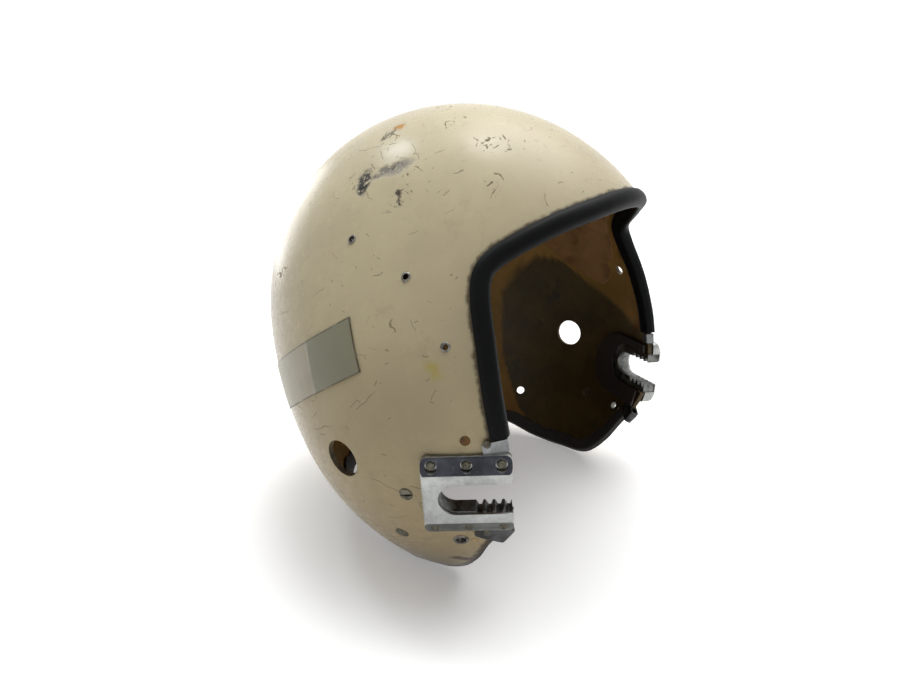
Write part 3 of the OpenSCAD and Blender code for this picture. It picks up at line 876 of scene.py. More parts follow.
@dataclass(frozen=True)
class OldTape:
    """Greenish old tape, clearer towards its rear end, with dirty borders."""

    name: str = "old_tape"

    def build(self) -> bpy.types.Material:
        """Makes the material."""
        g = Graph(self.name)
        run, rim = g.attribute("run"), g.attribute("rim")
        wavy = g.math("ADD", run, g.math("MULTIPLY", g.math("SUBTRACT", g.noise(40, 2), 0.5), 9.0))
        colour = g.mix(g.band(wavy, 30.5, 33.5), srgb(143, 141, 118), srgb(178, 171, 147))
        streak = g.math("MULTIPLY", g.band(g.noise(50, 5, 0.7), 0.5, 0.7), 0.3)
        colour = g.mix(streak, colour, srgb(138, 134, 112))
        dirty = g.math("MULTIPLY", g.band(rim, 0.9, 0.1), g.band(g.noise(120, 3), 0.3, 0.5))
        colour = g.mix(dirty, colour, srgb(70, 60, 44))
        g.surface(Base_Color=colour, Roughness=0.38, Normal=g.bump(g.noise(70, 3), 0.2))
        return g.material


class Palette:
    """Every finish of the helmet, built once."""

    PLAIN = {
        "rubber": Finish("edge_rubber", (6, 7, 8), (11, 12, 13), 0.42, depth=0.06, grain=70, shine=0.08),
        "band": Finish("band_rubber", (16, 15, 15), (30, 27, 25), 0.6, depth=0.2, grain=90),
        "raw_edge": Finish("raw_edge", (112, 98, 74), (66, 54, 38), 0.7, depth=0.15, grain=260),
        "lining": Finish("lining_cloth", (164, 126, 84), (126, 94, 58), 0.85,
                         wear=Wear.FABRIC, depth=0.5, grain=45),
        "steel": Finish("polished_steel", (172, 173, 170), (142, 144, 142), 0.24, 0.9,
                        Wear.BRUSHED, 90, 0.03),
        # painted reflections: darker copies of the steel that stand in for the dark surroundings mirrored in the
        # receiver's sloping bands
        "slope_up": Finish("slate_steel", (66, 68, 75), (46, 48, 53), 0.26, 0.9, Wear.BRUSHED, 70, 0.03),
        "slope_low": Finish("grey_steel", (104, 106, 102), (78, 80, 78), 0.3, 0.9, Wear.BRUSHED, 90, 0.03),
        "liner": Finish("liner_steel", (118, 119, 116), (80, 81, 78), 0.36, 1.0, Wear.DULL, 160, 0.08),
        "plate": Finish("dark_plate", (30, 17, 13), (18, 12, 10), 0.55, depth=0.1, grain=110),
        "rivet": Finish("rivet_metal", (98, 95, 84), (66, 62, 54), 0.45, 1.0, Wear.DULL, 420, 0.08),
        "clip": Finish("clip_metal", (128, 130, 130), (98, 100, 100), 0.34, 1.0, Wear.BRUSHED, 150, 0.04),
        "dark_clip": Finish("dark_clip_metal", (84, 85, 86), (52, 52, 52), 0.4, 1.0, Wear.DULL, 150, 0.06),
        "eyelet": Finish("eyelet_metal", (128, 126, 120), (84, 80, 74), 0.32, 1.0, Wear.DULL, 500, 0.06),
        "screw": Finish("screw_metal", (112, 108, 96), (76, 72, 62), 0.42, 1.0, Wear.DULL, 500, 0.08),
        "plug": Finish("filler", (128, 88, 38), (66, 42, 18), 0.6, depth=0.25, grain=400),
        "brass": Finish("old_brass", (178, 152, 112), (196, 172, 132), 0.5, 0.4, Wear.DULL, 420, 0.06),
    }

    def __init__(self, skin: Skin) -> None:
        self.paint = WornPaint(skin).build()
        self.resin = InnerResin().build()
        self.tape = OldTape().build()
        self.plain = {key: finish.build() for key, finish in self.PLAIN.items()}

    def __getitem__(self, key: str) -> bpy.types.Material:
        return self.plain[key]


# ---- sub-assemblies -------------------------------------------------------------


@dataclass(frozen=True)
class Receiver:
    """Sizes and place of a mask receiver; x runs to the front, z out of its face."""

    at: tuple[float, float, float] = (-106.12, -66.96, -26.32)
    x_way: tuple[float, float, float] = (0.5687, -0.8206, 0.0541)
    z_way: tuple[float, float, float] = (-0.8165, -0.5711, -0.0844)
    length: float = 41.6
    height: float = 42.0
    slot_high: float = 16.6
    slot_back: float = 7.2
    liner_arm: float = 5.0
    bevel_w: float = 7.8
    rivet_step: float = 16.0
    rivet_r: float = 2.1

    def spot(self, side: Side) -> Spot:
        """The receiver's own axes on one side."""
        x, z = unit(np.array(self.x_way)), unit(np.array(self.z_way))
        y = np.cross(z, x)
        flip = np.array([-side.value, 1, 1])
        return Spot(np.array(self.at) * flip, x * flip, y * flip, z * flip)

    @property
    def round_x(self) -> float:
        """Where the slot's round end has its centre."""
        return -self.length / 2 + self.slot_back + self.slot_high / 2

    @property
    def liner_r(self) -> float:
        """Outer radius of the toothed liner."""
        return self.slot_high / 2 + self.liner_arm

    @property
    def rivet_row(self) -> float:
        """Height of the rivet row above the middle."""
        return self.height / 2 - self.bevel_w / 2 - 0.2


@dataclass(frozen=True)
class Places:
    """Places seen from the side, as Y and Z about the skull centre."""

    visor: tuple[tuple[float, float], ...] = ((14.5, 81.8), (-23.1, 69.0), (-49.5, 42.0))
    ear: tuple[float, float] = (-3.5, -19.2)
    strap: tuple[float, float] = (-56.2, -58.4)
    nape: tuple[float, float] = (25.0, -67.8)
    screw: tuple[float, float] = (-38.2, -29.3)
    stud: tuple[float, float] = (-28.1, -59.6)
    plug: tuple[float, float] = (-63.3, 1.5)
    cheek: tuple[float, float] = (-61.6, -58.8)
    upper_clip: tuple[float, float] = (-71.0, 0.4)
    lower_clip: tuple[float, float] = (-67.4, -50.9)


@dataclass
class Assembly:
    """What every sub-assembly shares."""

    skin: Skin
    edge: Edge
    palette: Palette
    receiver: Receiver = field(default_factory=Receiver)
    places: Places = field(default_factory=Places)

    def dress(self, obj: bpy.types.Object, slot: str, *nodes: str) -> bpy.types.Object:
        """Hangs a piece on the frame.

        Args:
            obj: The finished piece.
            slot: The record's material slot; not used.
            nodes: The CAD nodes it stands for.

        Returns:
            The piece.
        """
        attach(obj, BODY)
        if nodes:
            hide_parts(*nodes)
        LOG.info("%s: %d faces", obj.name, len(obj.data.polygons))
        return obj


@dataclass
class Shell(Assembly):
    """The painted wall with all its holes."""

    columns_per_knot: int = 8
    rows: int = 64
    bunch: float = 1.35
    chamfer: float = 0.45
    pad_border: tuple[tuple[float, float], ...] = (
        (66, 110), (75, 88), (77, 74), (83, 68), (94, 66), (106, 69), (115, 79), (122, 90), (128, 108), (134, 150),
    )

    def wall(self) -> bpy.types.Object:
        """Makes the closed wall without holes."""
        n = 2 * self.edge.last * self.columns_per_knot
        t = np.arange(n) / self.columns_per_knot
        turns = self.edge.turn(t)
        share = 1 - (1 - np.arange(1, self.rows + 1) / self.rows) ** self.bunch
        share = np.append(share, 1.0)
        d = way(turns[None, :, 0], turns[None, :, 1] * share[:, None])
        rim = self.edge.across(t) * 0.5
        outer = self.skin.on(d[:-1], 0)
        middle = self.skin.on(d[-1], -self.skin.wall / 2) + rim
        inner = self.skin.on(d[:-1], -self.skin.wall)[::-1]
        rows = np.concatenate([outer, middle[None], inner])
        m = len(rows)
        tops = [self.skin.on(POLE, 0.0)], [self.skin.on(POLE, -self.skin.wall)]
        points = np.concatenate([rows.reshape(-1, 3), *tops])
        faces = [(i * n + j, i * n + (j + 1) % n, (i + 1) * n + (j + 1) % n, (i + 1) * n + j)
                 for i in range(m - 1) for j in range(n)]
        faces += [(m * n, (j + 1) % n, j) for j in range(n)]
        faces += [(m * n + 1, (m - 1) * n + j, (m - 1) * n + (j + 1) % n) for j in range(n)]
        form = Form()
        form.add(points, faces)
        finishes = [self.palette.paint, self.palette.resin, self.palette["raw_edge"]]
        return form.piece("shell_skin", self.skin, finishes)

    def cutter(self, spot: Spot, r: float, chamfer: float) -> bpy.types.Object:
        """Makes a round cutter with a chamfer at the paint."""
        form = Form()
        form.lathe(spot, [(0, -9), (r, -9), (r, -chamfer), (r + chamfer, 0.12), (r + chamfer, 9), (0, 9)], 64)
        return form.piece("cutter", self.skin, [])

    def slot_cutter(self, side: Side) -> bpy.types.Object:
        """Makes the cutter for the receiver's slot."""
        rec = self.receiver
        r = rec.liner_r + 0.3
        bend = np.radians(np.linspace(90, 270, 25))
        outline = [(60.0, -r), (60.0, r)] + [(rec.round_x + r * math.cos(a), r * math.sin(a)) for a in bend]
        rings = np.array([[(x, y, z) for x, y in outline] for z in (-20.0, 4.0)])
        form = Form()
        form.sweep(rec.spot(side).place(rings))
        return form.piece("cutter", self.skin, [])

    def cutters(self, side: Side) -> list[bpy.types.Object]:
        """Every cutter on one side."""
        p = self.places
        # the front left eyelet is lost, so its hole is bare and worn
        front = (3.3, 0.3) if side is Side.LEFT else (2.25, 0.1)
        bores = [(p.visor[0], 2.25, 0.1), (p.visor[1], 2.25, 0.1), (p.visor[2], *front),
                 (p.ear, 9.5, 0.9), (p.strap, 3.3, 0.1), (p.nape, 3.0, self.chamfer), (p.screw, 2.1, 0.1),
                 (p.stud, 3.6, 0.15), (p.plug, 2.4, 0.15), (p.cheek, 2.0, 0.1)]
        made = [self.cutter(Spot.on_skin(self.skin, y, z, side), r, c) for (y, z), r, c in bores]
        return made + [self.slot_cutter(side)]

    def finish_faces(self, obj: bpy.types.Object) -> None:
        """Sorts the faces into paint, resin and raw edge and stores what the finishes read."""
        mesh = obj.data
        centre = np.array(self.skin.centre)
        co = np.empty(len(mesh.vertices) * 3)
        mesh.vertices.foreach_get("co", co)
        p = co.reshape(-1, 3) / MM - centre
        high = self.skin.level(p)
        kinds = np.zeros(len(mesh.polygons), np.int32)
        for poly in mesh.polygons:
            levels = high[list(poly.vertices)]
            kinds[poly.index] = 0 if levels.min() > -0.2 else 1 if levels.max() < -self.skin.wall + 0.2 else 2
        mesh.polygons.foreach_set("material_index", kinds)
        self.store(mesh, p)
        normals = self.skin.normal(p)
        loops = np.zeros((len(mesh.loops), 3))
        for poly in mesh.polygons:
            k = kinds[poly.index]
            for li in poly.loop_indices:
                v = mesh.loops[li].vertex_index
                loops[li] = poly.normal if k == 2 else normals[v] if k == 0 else -normals[v]
        mesh.normals_split_custom_set(loops.tolist())

    def store(self, mesh: bpy.types.Mesh, p: Array) -> None:
        """Stores the distance to the edge and the zones inside."""
        t = np.linspace(0, 2 * self.edge.last, 1600, endpoint=False)
        curve = self.edge.point(t)
        tree = KDTree(len(curve))
        for i, q in enumerate(curve):
            tree.insert(q, i)
        tree.balance()
        found = [tree.find(q) for q in p]
        gap = np.array([f[2] for f in found])
        place = t[[f[1] for f in found]]
        place = np.minimum(place, 2 * self.edge.last - place)
        phi, theta = turn_of(p)
        a = np.abs(phi)
        border = np.interp(a, *zip(*self.pad_border))
        pad = ease(theta - border, -1.2, 1.8) * ease(a, 50, 72)
        pad = np.maximum(pad, ease(theta, 112, 122))
        for name, values in (("edge_gap", gap), ("brow", 1 - ease(place, 9.2, 9.6)), ("pad", pad)):
            layer = mesh.attributes.new(name, "FLOAT", "POINT")
            layer.data.foreach_set("value", np.asarray(values, np.float32))

    def build(self) -> list[bpy.types.Object]:
        """Builds the wall, cuts it and hangs it on the frame."""
        obj = self.wall()
        carve(obj, [c for side in Side for c in self.cutters(side)])
        self.finish_faces(obj)
        return [self.dress(obj, "shell_paint", "shell")]


@dataclass
class Trim(Assembly):
    """What is clipped or stuck along the edge: roll, band, lining and tape."""

    gap: float = 0.35
    roll_end: float = 8.94
    band_start: float = 12.65
    roll_reach: float = 6.5
    roll_inner_reach: float = 8.5
    roll_t: float = 2.3
    roll_nose: float = 2.8

    def roll(self) -> bpy.types.Object:
        """The rubber roll round the face opening."""
        g, t, nose = self.gap, self.roll_t, self.roll_nose
        deep = -self.skin.wall - g
        over, under = self.roll_reach, self.roll_inner_reach
        outer = [(-over, g), (-over - 0.1, g + 0.5), (-over + 0.5, g + 0.85), (-over + 1.6, g + 0.8 * t),
                 (-0.55 * over, g + 1.0 * t), (-0.35 * over, g + 1.07 * t), (-0.15 * over, g + 1.05 * t),
                 (0.2, g + 0.93 * t), (1.3, g + 0.7 * t), (2.1, g + 0.3 * t)]
        bend = [(2.6, -0.6), (nose, -1.5), (2.65, -2.4), (2.2, deep - 0.2 * t),
                (1.3, deep - 0.62 * t), (0.2, deep - 0.8 * t)]
        inner = [(-1.1, deep - 0.7 * t), (-1.9, deep - 0.5 * t), (-2.7, deep - 0.62 * t),
                 (-4.5, deep - 0.8 * t), (-6.5, deep - 0.7 * t), (-under + 0.6, deep - 0.45 * t), (-under, deep - 0.2)]
        section = np.array(outer + bend + inner + [(-under, deep), (g, deep), (g, g)])
        steps = np.linspace(-self.roll_end, self.roll_end, 361)
        rings = self.edge.at(np.repeat(steps[:, None], len(section), 1) % (2 * self.edge.last),
                             np.broadcast_to(section[:, 0], (len(steps), len(section))),
                             np.broadcast_to(section[:, 1], (len(steps), len(section))))
        free = np.ones(len(section))
        free[-4:] = 0
        wobble = ripple(rings, 34, 4) * 0.22 + ripple(rings, 9, 5) * 0.07
        rings = rings + self.skin.normal(rings) * (wobble * free)[..., None]
        form = Form()
        form.sweep(rings)
        obj = form.piece("edge_roll_rubber", self.skin, [self.palette["rubber"]], 50)
        return self.dress(obj, "edge_rubber", "face_edge_roll")

    def band(self) -> bpy.types.Object:
        """The black band round the lower edge, ragged on the inside."""
        g, t = self.gap, 1.1
        deep = -self.skin.wall - g
        steps = np.linspace(self.band_start, 2 * self.edge.last - self.band_start, 421)
        spine = self.edge.point(steps)
        ragged = 7.6 + 1.5 * ripple(spine, 16, 11) + 0.9 * ripple(spine, 5, 12)
        shy = -0.1 + 0.5 * ripple(spine, 21, 13)
        rings = []
        for i, step in enumerate(steps):
            section = np.array([
                (g, shy[i]), (g + 0.5 * t, shy[i] + 0.05), (g + t, -0.6), (g + t, deep - 0.6 * t),
                (g + 0.5 * t, deep - t), (-ragged[i] + 0.4, deep - t), (-ragged[i], deep - 0.6 * t),
                (-ragged[i], deep), (g, deep),
            ])
            rings.append(self.edge.at(np.full(len(section), step), section[:, 0], section[:, 1]))
        form = Form()
        form.sweep(np.array(rings))
        obj = form.piece("lower_band_rubber", self.skin, [self.palette["band"]])
        return self.dress(obj, "band_rubber", "lower_rim_band")

    def lining(self) -> bpy.types.Object:
        """The wrinkled cloth inside the brow with a lobe down each temple."""
        turns = np.linspace(-75.5, 75.5, 181)
        a = np.abs(turns)
        low = (78.8 + 9 * ease(a, 41, 55) + 4.5 * ease(a, 59, 63)
               - 17 * (1 - np.cos(np.radians(90 * np.maximum(0, a - 68) / 7.5))))
        rows = np.linspace(0, 1, 41)
        theta = 62 + (low[:, None] - 62) * rows
        d = way(np.broadcast_to(turns[:, None], theta.shape), theta)
        top = -self.skin.wall - self.gap
        base = self.skin.on(d, top)
        creases = 0.35 * np.abs(ripple(base, 13, 21)) + 0.25 * np.abs(ripple(base, 6, 22))
        under = self.skin.on(d, top - 0.7 - creases)
        loops = np.concatenate([base, under[:, ::-1]], axis=1)
        form = Form()
        form.sweep(loops)
        obj = form.piece("brow_lining_cloth", self.skin, [self.palette["lining"]], 60)
        return self.dress(obj, "lining", "brow_lining")

    def tape(self) -> bpy.types.Object:
        """The strip of old tape on the right rear."""
        fall = math.radians(31.5)
        s = np.linspace(0, 96, 97)[:, None] + np.zeros(27)
        w = np.linspace(-13, 13, 27)[None, :] + np.zeros((97, 1))
        end = s.copy()
        end[-6:] += 1.6 * ripple(np.stack([w, w, w], -1)[-6:], 7, 31)
        y = -6.8 + end * math.cos(fall) + w * math.sin(fall)
        z = 38 - end * math.sin(fall) + w * math.cos(fall)
        p = np.stack([-self.skin.half_width_at(y, z), y, z], axis=-1)
        lap = 0.22 * ease(s, 33, 31.5)
        low, high = self.skin.drop(p, 0.3), self.skin.drop(p, 0.52 + 0.08 * ripple(p, 12, 32) + lap)
        form = Form()
        form.sweep(np.concatenate([low, high[:, ::-1]], axis=1))
        obj = form.piece("tape_strip", self.skin, [self.palette.tape], 50)
        rim = np.minimum(np.minimum(13 - np.abs(w), s), 96 - s)
        for name, grid in (("run", s), ("rim", rim)):
            layer = obj.data.attributes.new(name, "FLOAT", "POINT")
            both = np.concatenate([grid, grid[:, ::-1]], axis=1)
            layer.data.foreach_set("value", both.astype(np.float32).ravel())
        return self.dress(obj, "tape", "rear_tape")

    def build(self) -> list[bpy.types.Object]:
        """Builds all four."""
        return [self.roll(), self.band(), self.lining(), self.tape()]


class RivetMaker:
    """Geometry Nodes that set copies of one turned rivet on points."""

    SIZE_SPREAD = 0.03

    def __init__(self) -> None:
        tree = bpy.data.node_groups.new("set_rivets", "GeometryNodeTree")
        self.tree = tree
        sockets = (("Geometry", "NodeSocketGeometry", "INPUT"), ("Rivet", "NodeSocketObject", "INPUT"),
                   ("Finish", "NodeSocketMaterial", "INPUT"), ("Seed", "NodeSocketInt", "INPUT"),
                   ("Size Spread", "NodeSocketFloat", "INPUT"), ("Geometry", "NodeSocketGeometry", "OUTPUT"))
        for name, kind, way_in in sockets:
            tree.interface.new_socket(name, in_out=way_in, socket_type=kind)
        new, link = tree.nodes.new, tree.links.new
        came, goes = new("NodeGroupInput"), new("NodeGroupOutput")
        facing = new("GeometryNodeInputNamedAttribute")
        facing.data_type = "FLOAT_VECTOR"
        facing.inputs["Name"].default_value = "facing"
        aim = new("FunctionNodeAlignRotationToVector")
        aim.axis = "Z"
        link(facing.outputs["Attribute"], aim.inputs["Vector"])
        turn = new("FunctionNodeRandomValue")
        turn.data_type = "FLOAT"
        turn.inputs[3].default_value = 2 * math.pi
        link(came.outputs["Seed"], turn.inputs["Seed"])
        spin = new("FunctionNodeAxisAngleToRotation")
        spin.inputs["Axis"].default_value = (0, 0, 1)
        link(turn.outputs[1], spin.inputs["Angle"])
        both = new("FunctionNodeRotateRotation")
        both.rotation_space = "LOCAL"
        link(aim.outputs[0], both.inputs[0])
        link(spin.outputs[0], both.inputs[1])
        size = new("FunctionNodeRandomValue")
        size.data_type = "FLOAT"
        size.inputs[3].default_value = 1.0
        low = new("ShaderNodeMath")
        low.operation = "SUBTRACT"
        low.inputs[0].default_value = 1.0
        link(came.outputs["Size Spread"], low.inputs[1])
        link(low.outputs[0], size.inputs[2])
        link(came.outputs["Seed"], size.inputs["Seed"])
        info = new("GeometryNodeObjectInfo")
        link(came.outputs["Rivet"], info.inputs["Object"])
        points = new("GeometryNodeMeshToPoints")
        link(came.outputs["Geometry"], points.inputs["Mesh"])
        copies = new("GeometryNodeInstanceOnPoints")
        link(points.outputs[0], copies.inputs["Points"])
        link(info.outputs["Geometry"], copies.inputs["Instance"])
        link(both.outputs[0], copies.inputs["Rotation"])
        link(size.outputs[1], copies.inputs["Scale"])
        real = new("GeometryNodeRealizeInstances")
        link(copies.outputs[0], real.inputs[0])
        paint = new("GeometryNodeSetMaterial")
        link(real.outputs[0], paint.inputs[0])
        link(came.outputs["Finish"], paint.inputs["Material"])
        link(paint.outputs[0], goes.inputs[0])

    def make(self, name: str, skin: Skin, spots: Sequence[Spot], profile: Sequence[tuple[float, float]],
             finish: bpy.types.Material, seed: int) -> bpy.types.Object:
        """Sets one turned form on every spot.

        Args:
            name: The new piece's name.
            skin: Gives the way into the frame.
            spots: Where they stand.
            profile: Radius and height pairs of the turned form.
            finish: Its material.
            seed: Seed of the small differences.

        Returns:
            One object with all the copies as a plain mesh.
        """
        flat = Spot(-np.array(skin.centre), np.eye(3)[0], np.eye(3)[1], np.eye(3)[2])
        form = Form()
        form.lathe(flat, profile, 36)
        template = form.piece("rivet_form", skin, [finish])
        mesh = bpy.data.meshes.new(name)
        mesh.from_pydata([tuple(skin.to_frame(s.at)) for s in spots], [], [])
        layer = mesh.attributes.new("facing", "FLOAT_VECTOR", "POINT")
        layer.data.foreach_set("vector", np.array([s.out for s in spots], np.float32).ravel())
        obj = show(name, mesh)
        mod = obj.modifiers.new("rivets", "NODES")
        mod.node_group = self.tree
        keys = {i.name: i.identifier for i in self.tree.interface.items_tree if i.in_out == "INPUT"}
        inputs = {"Rivet": template, "Finish": finish, "Seed": seed, "Size Spread": self.SIZE_SPREAD}
        for key, value in inputs.items():
            mod[keys[key]] = value
        obj.update_tag()
        bpy.context.view_layer.update()
        baked(obj)
        drop_object(template)
        shade(obj.data, 35)
        return obj


@dataclass
class Hardware(Assembly):
    """Receivers, rivets, clips, eyelets, screws, studs and plugs."""

    maker: RivetMaker = field(default_factory=RivetMaker)

    def softened(self, node: str, name: str, material: bpy.types.Material, slot: str,
                 width: float, segments: int = 2) -> bpy.types.Object:
        """A copy of a CAD node with softened edges.

        Args:
            node: The CAD node.
            name: The new piece's name.
            material: Its material.
            slot: The record's material slot.
            width: Width of the softened edge in millimetres.
            segments: Steps across the softened edge.

        Returns:
            The piece.
        """
        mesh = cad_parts[node].data.copy()
        mesh.name = name
        mesh.materials.clear()
        mesh.materials.append(material)
        bm = bmesh.new()
        bm.from_mesh(mesh)
        bmesh.ops.remove_doubles(bm, verts=bm.verts, dist=2e-6)
        bmesh.ops.dissolve_limit(bm, angle_limit=math.radians(1.0), verts=bm.verts, edges=bm.edges)
        bmesh.ops.recalc_face_normals(bm, faces=bm.faces)
        bm.to_mesh(mesh)
        bm.free()
        obj = show(name, mesh)
        mod = obj.modifiers.new("soft", "BEVEL")
        mod.width, mod.segments = width * MM, segments
        mod.limit_method, mod.angle_limit = "ANGLE", math.radians(32)
        mod.use_clamp_overlap = True
        bpy.context.view_layer.update()
        baked(obj)
        shade(obj.data, 40)
        return self.dress(obj, slot, node)

    def receiver_set(self, side: Side) -> list[bpy.types.Object]:
        """One receiver with its liner, plate and rivets."""
        w, rec = side.word, self.receiver
        base = rec.spot(side)
        forms = (("receiver", "body", "steel", "polished_metal", 0.35),
                 ("tooth_liner", "liner", "liner", "dull_metal", 0.3),
                 ("inner_plate", "plate", "plate", "dark_resin", 0.3))
        made = [self.softened(f"{node}_{w}", f"receiver_{name}_{w}", self.palette[key], slot, width)
                for node, name, key, slot, width in forms]
        self.part_slopes(made[0], base)

        def row(y: float, z: float) -> list[Spot]:
            places = [base.place(np.array([i * rec.rivet_step, y, z])) for i in (-1, 0, 1)]
            return [Spot(at, base.along, base.across, base.out) for at in places]

        r = rec.rivet_r
        upper = [(0, -1.2), (r, -1.2), (r, -0.35), (r - 0.25, -0.1), (r - 0.7, -0.05), (r - 0.8, 0.12), (0, 0.2)]
        lower = [(0, -0.5), (r, -0.5), (r, -0.1), (r - 0.2, 0.05), (0, 0.12)]
        for name, spots, profile, seed in (("upper_rivets", row(rec.rivet_row, -2.1), upper, 3),
                                           ("lower_rivets", row(-rec.rivet_row, -1.9), lower, 4)):
            rivet = self.palette["rivet"]
            obj = self.maker.make(f"{name}_heads_{w}", self.skin, spots, profile, rivet, seed + side.value)
            made.append(self.dress(obj, "rivet_metal", f"{name}_{w}"))
        return made

    def part_slopes(self, obj: bpy.types.Object, base: Spot) -> None:
        """Gives the two sloping bands of a receiver painted reflections: darker steel finishes, slate on the upper
        band and grey on the lower.

        Args:
            obj: The receiver's body.
            base: The receiver's own axes.
        """
        mesh = obj.data
        for key in ("slope_up", "slope_low"):
            mesh.materials.append(self.palette[key])
        for poly in mesh.polygons:
            normal = np.array(poly.normal)
            rise, face = float(normal @ base.across), float(normal @ base.out)
            # faces of the upper and lower sloping bands take the darker steel as painted reflections
            if 0.6 < face < 0.985 and abs(rise) > 0.2:
                poly.material_index = 1 if rise > 0 else 2

    def sheet_clip(self, name: str, node: str, side: Side, start: float, end: float, over: float,
                   under: float, nose: float, material: str, slot: str) -> bpy.types.Object:
        """A bent sheet clip over the edge.

        Args:
            name: The piece's name.
            node: The CAD node it stands for.
            side: Which side.
            start: First place along the edge.
            end: Last place along the edge.
            over: Reach over the paint.
            under: Reach over the inner face.
            nose: How far the bend stands off the edge.
            material: Key of the finish.
            slot: The record's material slot.

        Returns:
            The piece.
        """
        g, deep = 0.35, -self.skin.wall - 0.35
        thick = 1.0
        section = np.array([
            (-over, g), (-over + 0.1, g + 0.8 * thick), (-over + 0.4, g + thick), (-over * 0.5, g + thick),
            (-2.5, g + thick), (nose - 0.5, g + thick), (nose + 0.6, g + thick * 0.65),
            (nose + thick, g - 0.1), (nose + thick, -1.4), (nose + thick, deep),
            (nose + 0.4 * thick, deep - thick), (-under, deep - thick), (-under, deep),
            (nose, deep), (nose, -1.4), (nose, g),
        ])
        steps = np.linspace(start, end, 13)
        inset = np.minimum(1, np.minimum(steps - start, end - steps) / (end - start) * 9)
        rings = []
        for step, f in zip(steps, inset):
            cut = section.copy()
            cut[:, 0] = np.where(cut[:, 0] < -over * 0.9, cut[:, 0] + (1 - f) * 1.0, cut[:, 0])
            rings.append(self.edge.at(np.full(len(cut), step), cut[:, 0], cut[:, 1]))
        rings = np.array(rings) * np.array([-side.value, 1, 1])
        form = Form()
        form.sweep(rings)
        obj = form.piece(f"{name}_{side.word}", self.skin, [self.palette[material]], 40)
        return self.dress(obj, slot, f"{node}_{side.word}")

    def clips(self, side: Side) -> list[bpy.types.Object]:
        """Both clips of one side and their rivets."""
        p = self.places
        made = [
            self.sheet_clip("roll_clip_sheet", "upper_clip", side, 8.99, 9.22, 11, 6, 0.35,
                            "clip", "clip_metal"),
            self.sheet_clip("band_clip_sheet", "lower_clip", side, 11.95, 12.6, 12, 6, 5.5,
                            "dark_clip", "dull_metal"),
        ]
        spots = []
        for y, z in (p.upper_clip, p.lower_clip):
            s = Spot.on_skin(self.skin, y, z, side)
            spots.append(Spot(s.place(np.array([0, 0, 1.4])), s.along, s.across, s.out))
        head = [(0, 0), (1.9, 0), (1.9, 0.3), (1.5, 0.6), (1.1, 0.65), (0.9, 0.85), (0, 0.9)]
        rivet = self.palette["rivet"]
        obj = self.maker.make(f"clip_rivet_heads_{side.word}", self.skin, spots, head, rivet, 21 + side.value)
        made.append(self.dress(obj, "rivet_metal", f"clip_rivets_{side.word}"))
        return made

    def eyelets(self, side: Side) -> list[bpy.types.Object]:
        """The visor eyelets and the larger strap eyelet."""
        p = self.places
        wall = self.skin.wall

        def rolled(bore: float, flange: float) -> list[tuple[float, float]]:
            r, rim = bore / 2, flange / 2
            return [(r + 0.7, -wall - 0.5), (r + 0.7, 0.05), (rim - 0.1, 0.05), (rim, 0.2), (rim - 0.2, 0.42),
                    (rim - 0.5, 0.55), (r + 0.35, 0.55), (r + 0.08, 0.42), (r, 0.1), (r, -wall - 0.5)]

        count = 2 if side is Side.LEFT else 3
        spots = [Spot.on_skin(self.skin, y, z, side) for y, z in p.visor[:count]]
        low = [Spot.on_skin(self.skin, *p.strap, side)]
        metal = self.palette["eyelet"]
        small = self.maker.make(f"visor_eyelet_rings_{side.word}", self.skin, spots, rolled(2.9, 4.9), metal, 31)
        large = self.maker.make(f"strap_eyelet_ring_{side.word}", self.skin, low, rolled(5, 8), metal, 33)
        return [self.dress(small, "eyelet_metal", f"visor_eyelets_{side.word}"),
                self.dress(large, "eyelet_metal", f"strap_eyelet_{side.word}")]

    def fasteners(self, side: Side) -> list[bpy.types.Object]:
        """The slotted screw, the flush stud, the filled hole and the small rivet."""
        p, wall, w = self.places, self.skin.wall, side.word
        made = []
        forms = (
            ("slotted_screw", p.screw, "screw", "screw_metal", 0.3,
             [(1.9, 0.1), (3.3, 0.1), (3.3, 0.45), (2.9, 0.8), (2.2, 0.95), (0, 1.0)]),
            ("nape_stud", p.stud, "screw", "screw_metal", 0.2, [(3.5, 0.1), (3.3, 0.22), (0, 0.25)]),
            ("resin_plug", p.plug, "plug", "plug_resin", 0.2, [(2.3, -0.3), (1.6, -0.45), (0, -0.3)]),
            ("cheek_rivet", p.cheek, "brass", "old_brass", 0.2,
             [(1.9, 0.08), (1.6, 0.16), (0.9, 0.12), (0.8, -0.05), (0, -0.08)]),
        )
        for node, (y, z), key, slot, sunk, head in forms:
            spot = Spot.on_skin(self.skin, y, z, side)
            foot = -wall + sunk
            profile = [(0, foot), (head[0][0], foot), *head]
            form = Form()
            form.lathe(spot, profile, 48)
            obj = form.piece(f"{node}_head_{w}", self.skin, [self.palette[key]])
            if node == "slotted_screw":
                a = math.radians(14) * -side.value
                end = ((-0.5, 0.3), (0.5, 0.3), (0.5, 3), (-0.5, 3))
                bar = np.array([[(x, y0, z0) for y0, z0 in end] for x in (-6.0, 6.0)])
                spun = np.stack([bar[..., 0] * math.cos(a) - bar[..., 1] * math.sin(a),
                                 bar[..., 0] * math.sin(a) + bar[..., 1] * math.cos(a), bar[..., 2]], axis=-1)
                tool = Form()
                tool.sweep(spot.place(spun))
                carve(obj, [tool.piece("cutter", self.skin, [])])
                shade(obj.data, 35)
            made.append(self.dress(obj, slot, f"{node}_{w}"))
        return made

    def build(self) -> list[bpy.types.Object]:
        """Builds all the hardware of both sides."""
        made = []
        for side in Side:
            made += self.receiver_set(side) + self.clips(side) + self.eyelets(side) + self.fasteners(side)
        return made


# ---- stage ------------------------------------------------------------------------


@dataclass(frozen=True)
class Lamp:
    """One soft area lamp that looks at the helmet."""

    name: str
    way: tuple[float, float, float]
    distance: float
    size: float
    watts: float
    colour: Colour = (1.0, 1.0, 1.0)


